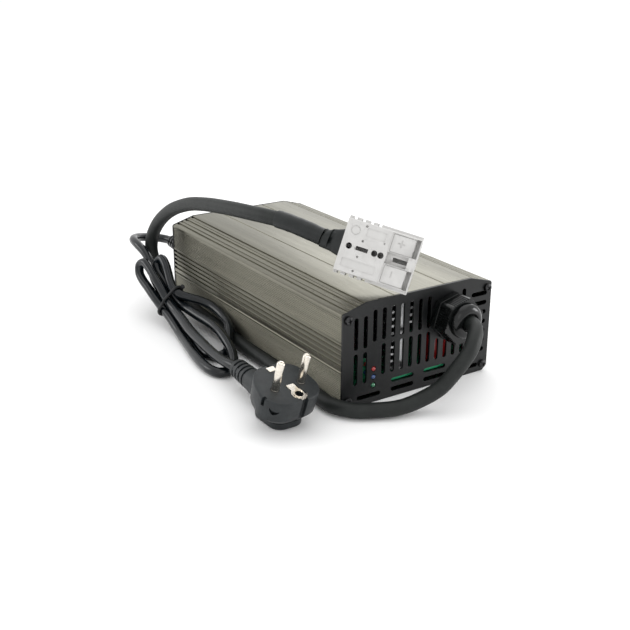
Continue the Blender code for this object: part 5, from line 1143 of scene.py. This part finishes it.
def build_cans(made):
    """The two round capacitors, with a beaded foot and a rolled rim."""
    for node, name, centre, radius, high, finish in (
        ("output_capacitor", "output_can", (-3.2, -97.5), 4.0, 37.0, "blue"),
        ("mains_capacitor", "mains_can", (-30.0, 20.0), 11.0, 56.7, "black"),
    ):
        profile = [(0.0, BOARD_TOP), (radius, BOARD_TOP), (radius, 14.0), (radius - 0.6, 14.7)]
        profile += [(radius, 15.4), (radius, high - 1.0), (radius - 0.3, high - 0.3), (radius - 0.9, high)]
        profile += [(radius - 1.8, high - 0.3), (0.0, high - 0.3)]
        bm = bmesh.new()
        turn(bm, profile, rows_at((*centre, 0.0), (0, 0, 1), (1, 0, 0)), 48)
        show(name, bm, made[finish], [node])


def build_board_parts(made):
    """The sinks and the film capacitor, shifted to where the slots show them, and the board."""
    for node, name, finish, shift in (
        ("heat_sink_output", "output_heat_sink", "mill", (3.5, 0, 0)),
        ("heat_sink_mains", "mains_heat_sink", "mill", (0, 0, 0)),
        ("film_capacitor", "film_capacitor_case", "red", (8.0, -7.0, 0)),
    ):
        bm = welded(node)
        bmesh.ops.translate(bm, verts=bm.verts, vec=shift)
        show(name, bm, made[finish], [node], edge=0.2)

    bm = welded("circuit_board")
    for vert in bm.verts:
        if vert.co.y < -101.0:
            vert.co.y = BOARD_FRONT
    lamp_notch = [(-40.4, -112.0), (-28.8, -112.0), (-28.8, -101.6), (-40.4, -101.6)]
    bm = carve(bm, FLAT, 14.0, [(lamp_notch, 8.0)])
    show("board_laminate", bm, made["board"], ["circuit_board"], edge=0.1)


def finish_plain_nodes(made):
    """Gives the nodes that are shown as they are their finishes."""
    for node, finish in (
        ("gland_locknut", "nylon"), ("led_board", "board"), ("transformer_core", "ferrite"),
        ("transformer_winding", "copper"), ("mains_choke", "copper"), ("mains_fuse", "fuse"),
    ):
        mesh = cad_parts[node].data
        mesh.materials.clear()
        mesh.materials.append(made[finish])


# Floor.


def build_floor(made):
    """A sheet of paper just below the base."""
    bm = bmesh.new()
    bmesh.ops.create_grid(bm, x_segments=8, y_segments=8, size=6.0)
    bmesh.ops.translate(bm, verts=bm.verts, vec=(0, 0, -0.0002))
    mesh = bpy.data.meshes.new("paper_sheet")
    bm.to_mesh(mesh)
    bm.free()
    mesh.materials.append(made["paper"])
    floor = bpy.data.objects.new("paper_sheet", mesh)
    bpy.context.scene.collection.objects.link(floor)


# Making, with the camera, the light and the two cords first.

put_camera()
put_light()
materials = make_materials()
output_cable, shrink_sleeve, output_run = build_output_cable(materials)
output_wires = build_output_wires(materials, output_run)
output_wires.append(build_wire_wrap(materials, output_run))
mains_cord, mains_run = build_mains_cord(materials)
twist_tie = build_tie(materials, mains_run)
build_case(materials)
build_panels(materials)
build_screws(materials)
build_lamps(materials)
build_gland(materials)
build_cord_bush(materials)
connector = build_connector(materials)
contacts = build_contacts(materials)
plug_pieces = [build_plug_body(materials), *build_plug_pins(materials), *build_earth_parts(materials)]
build_fan(materials)
build_cans(materials)
build_board_parts(materials)
finish_plain_nodes(materials)
build_floor(materials)
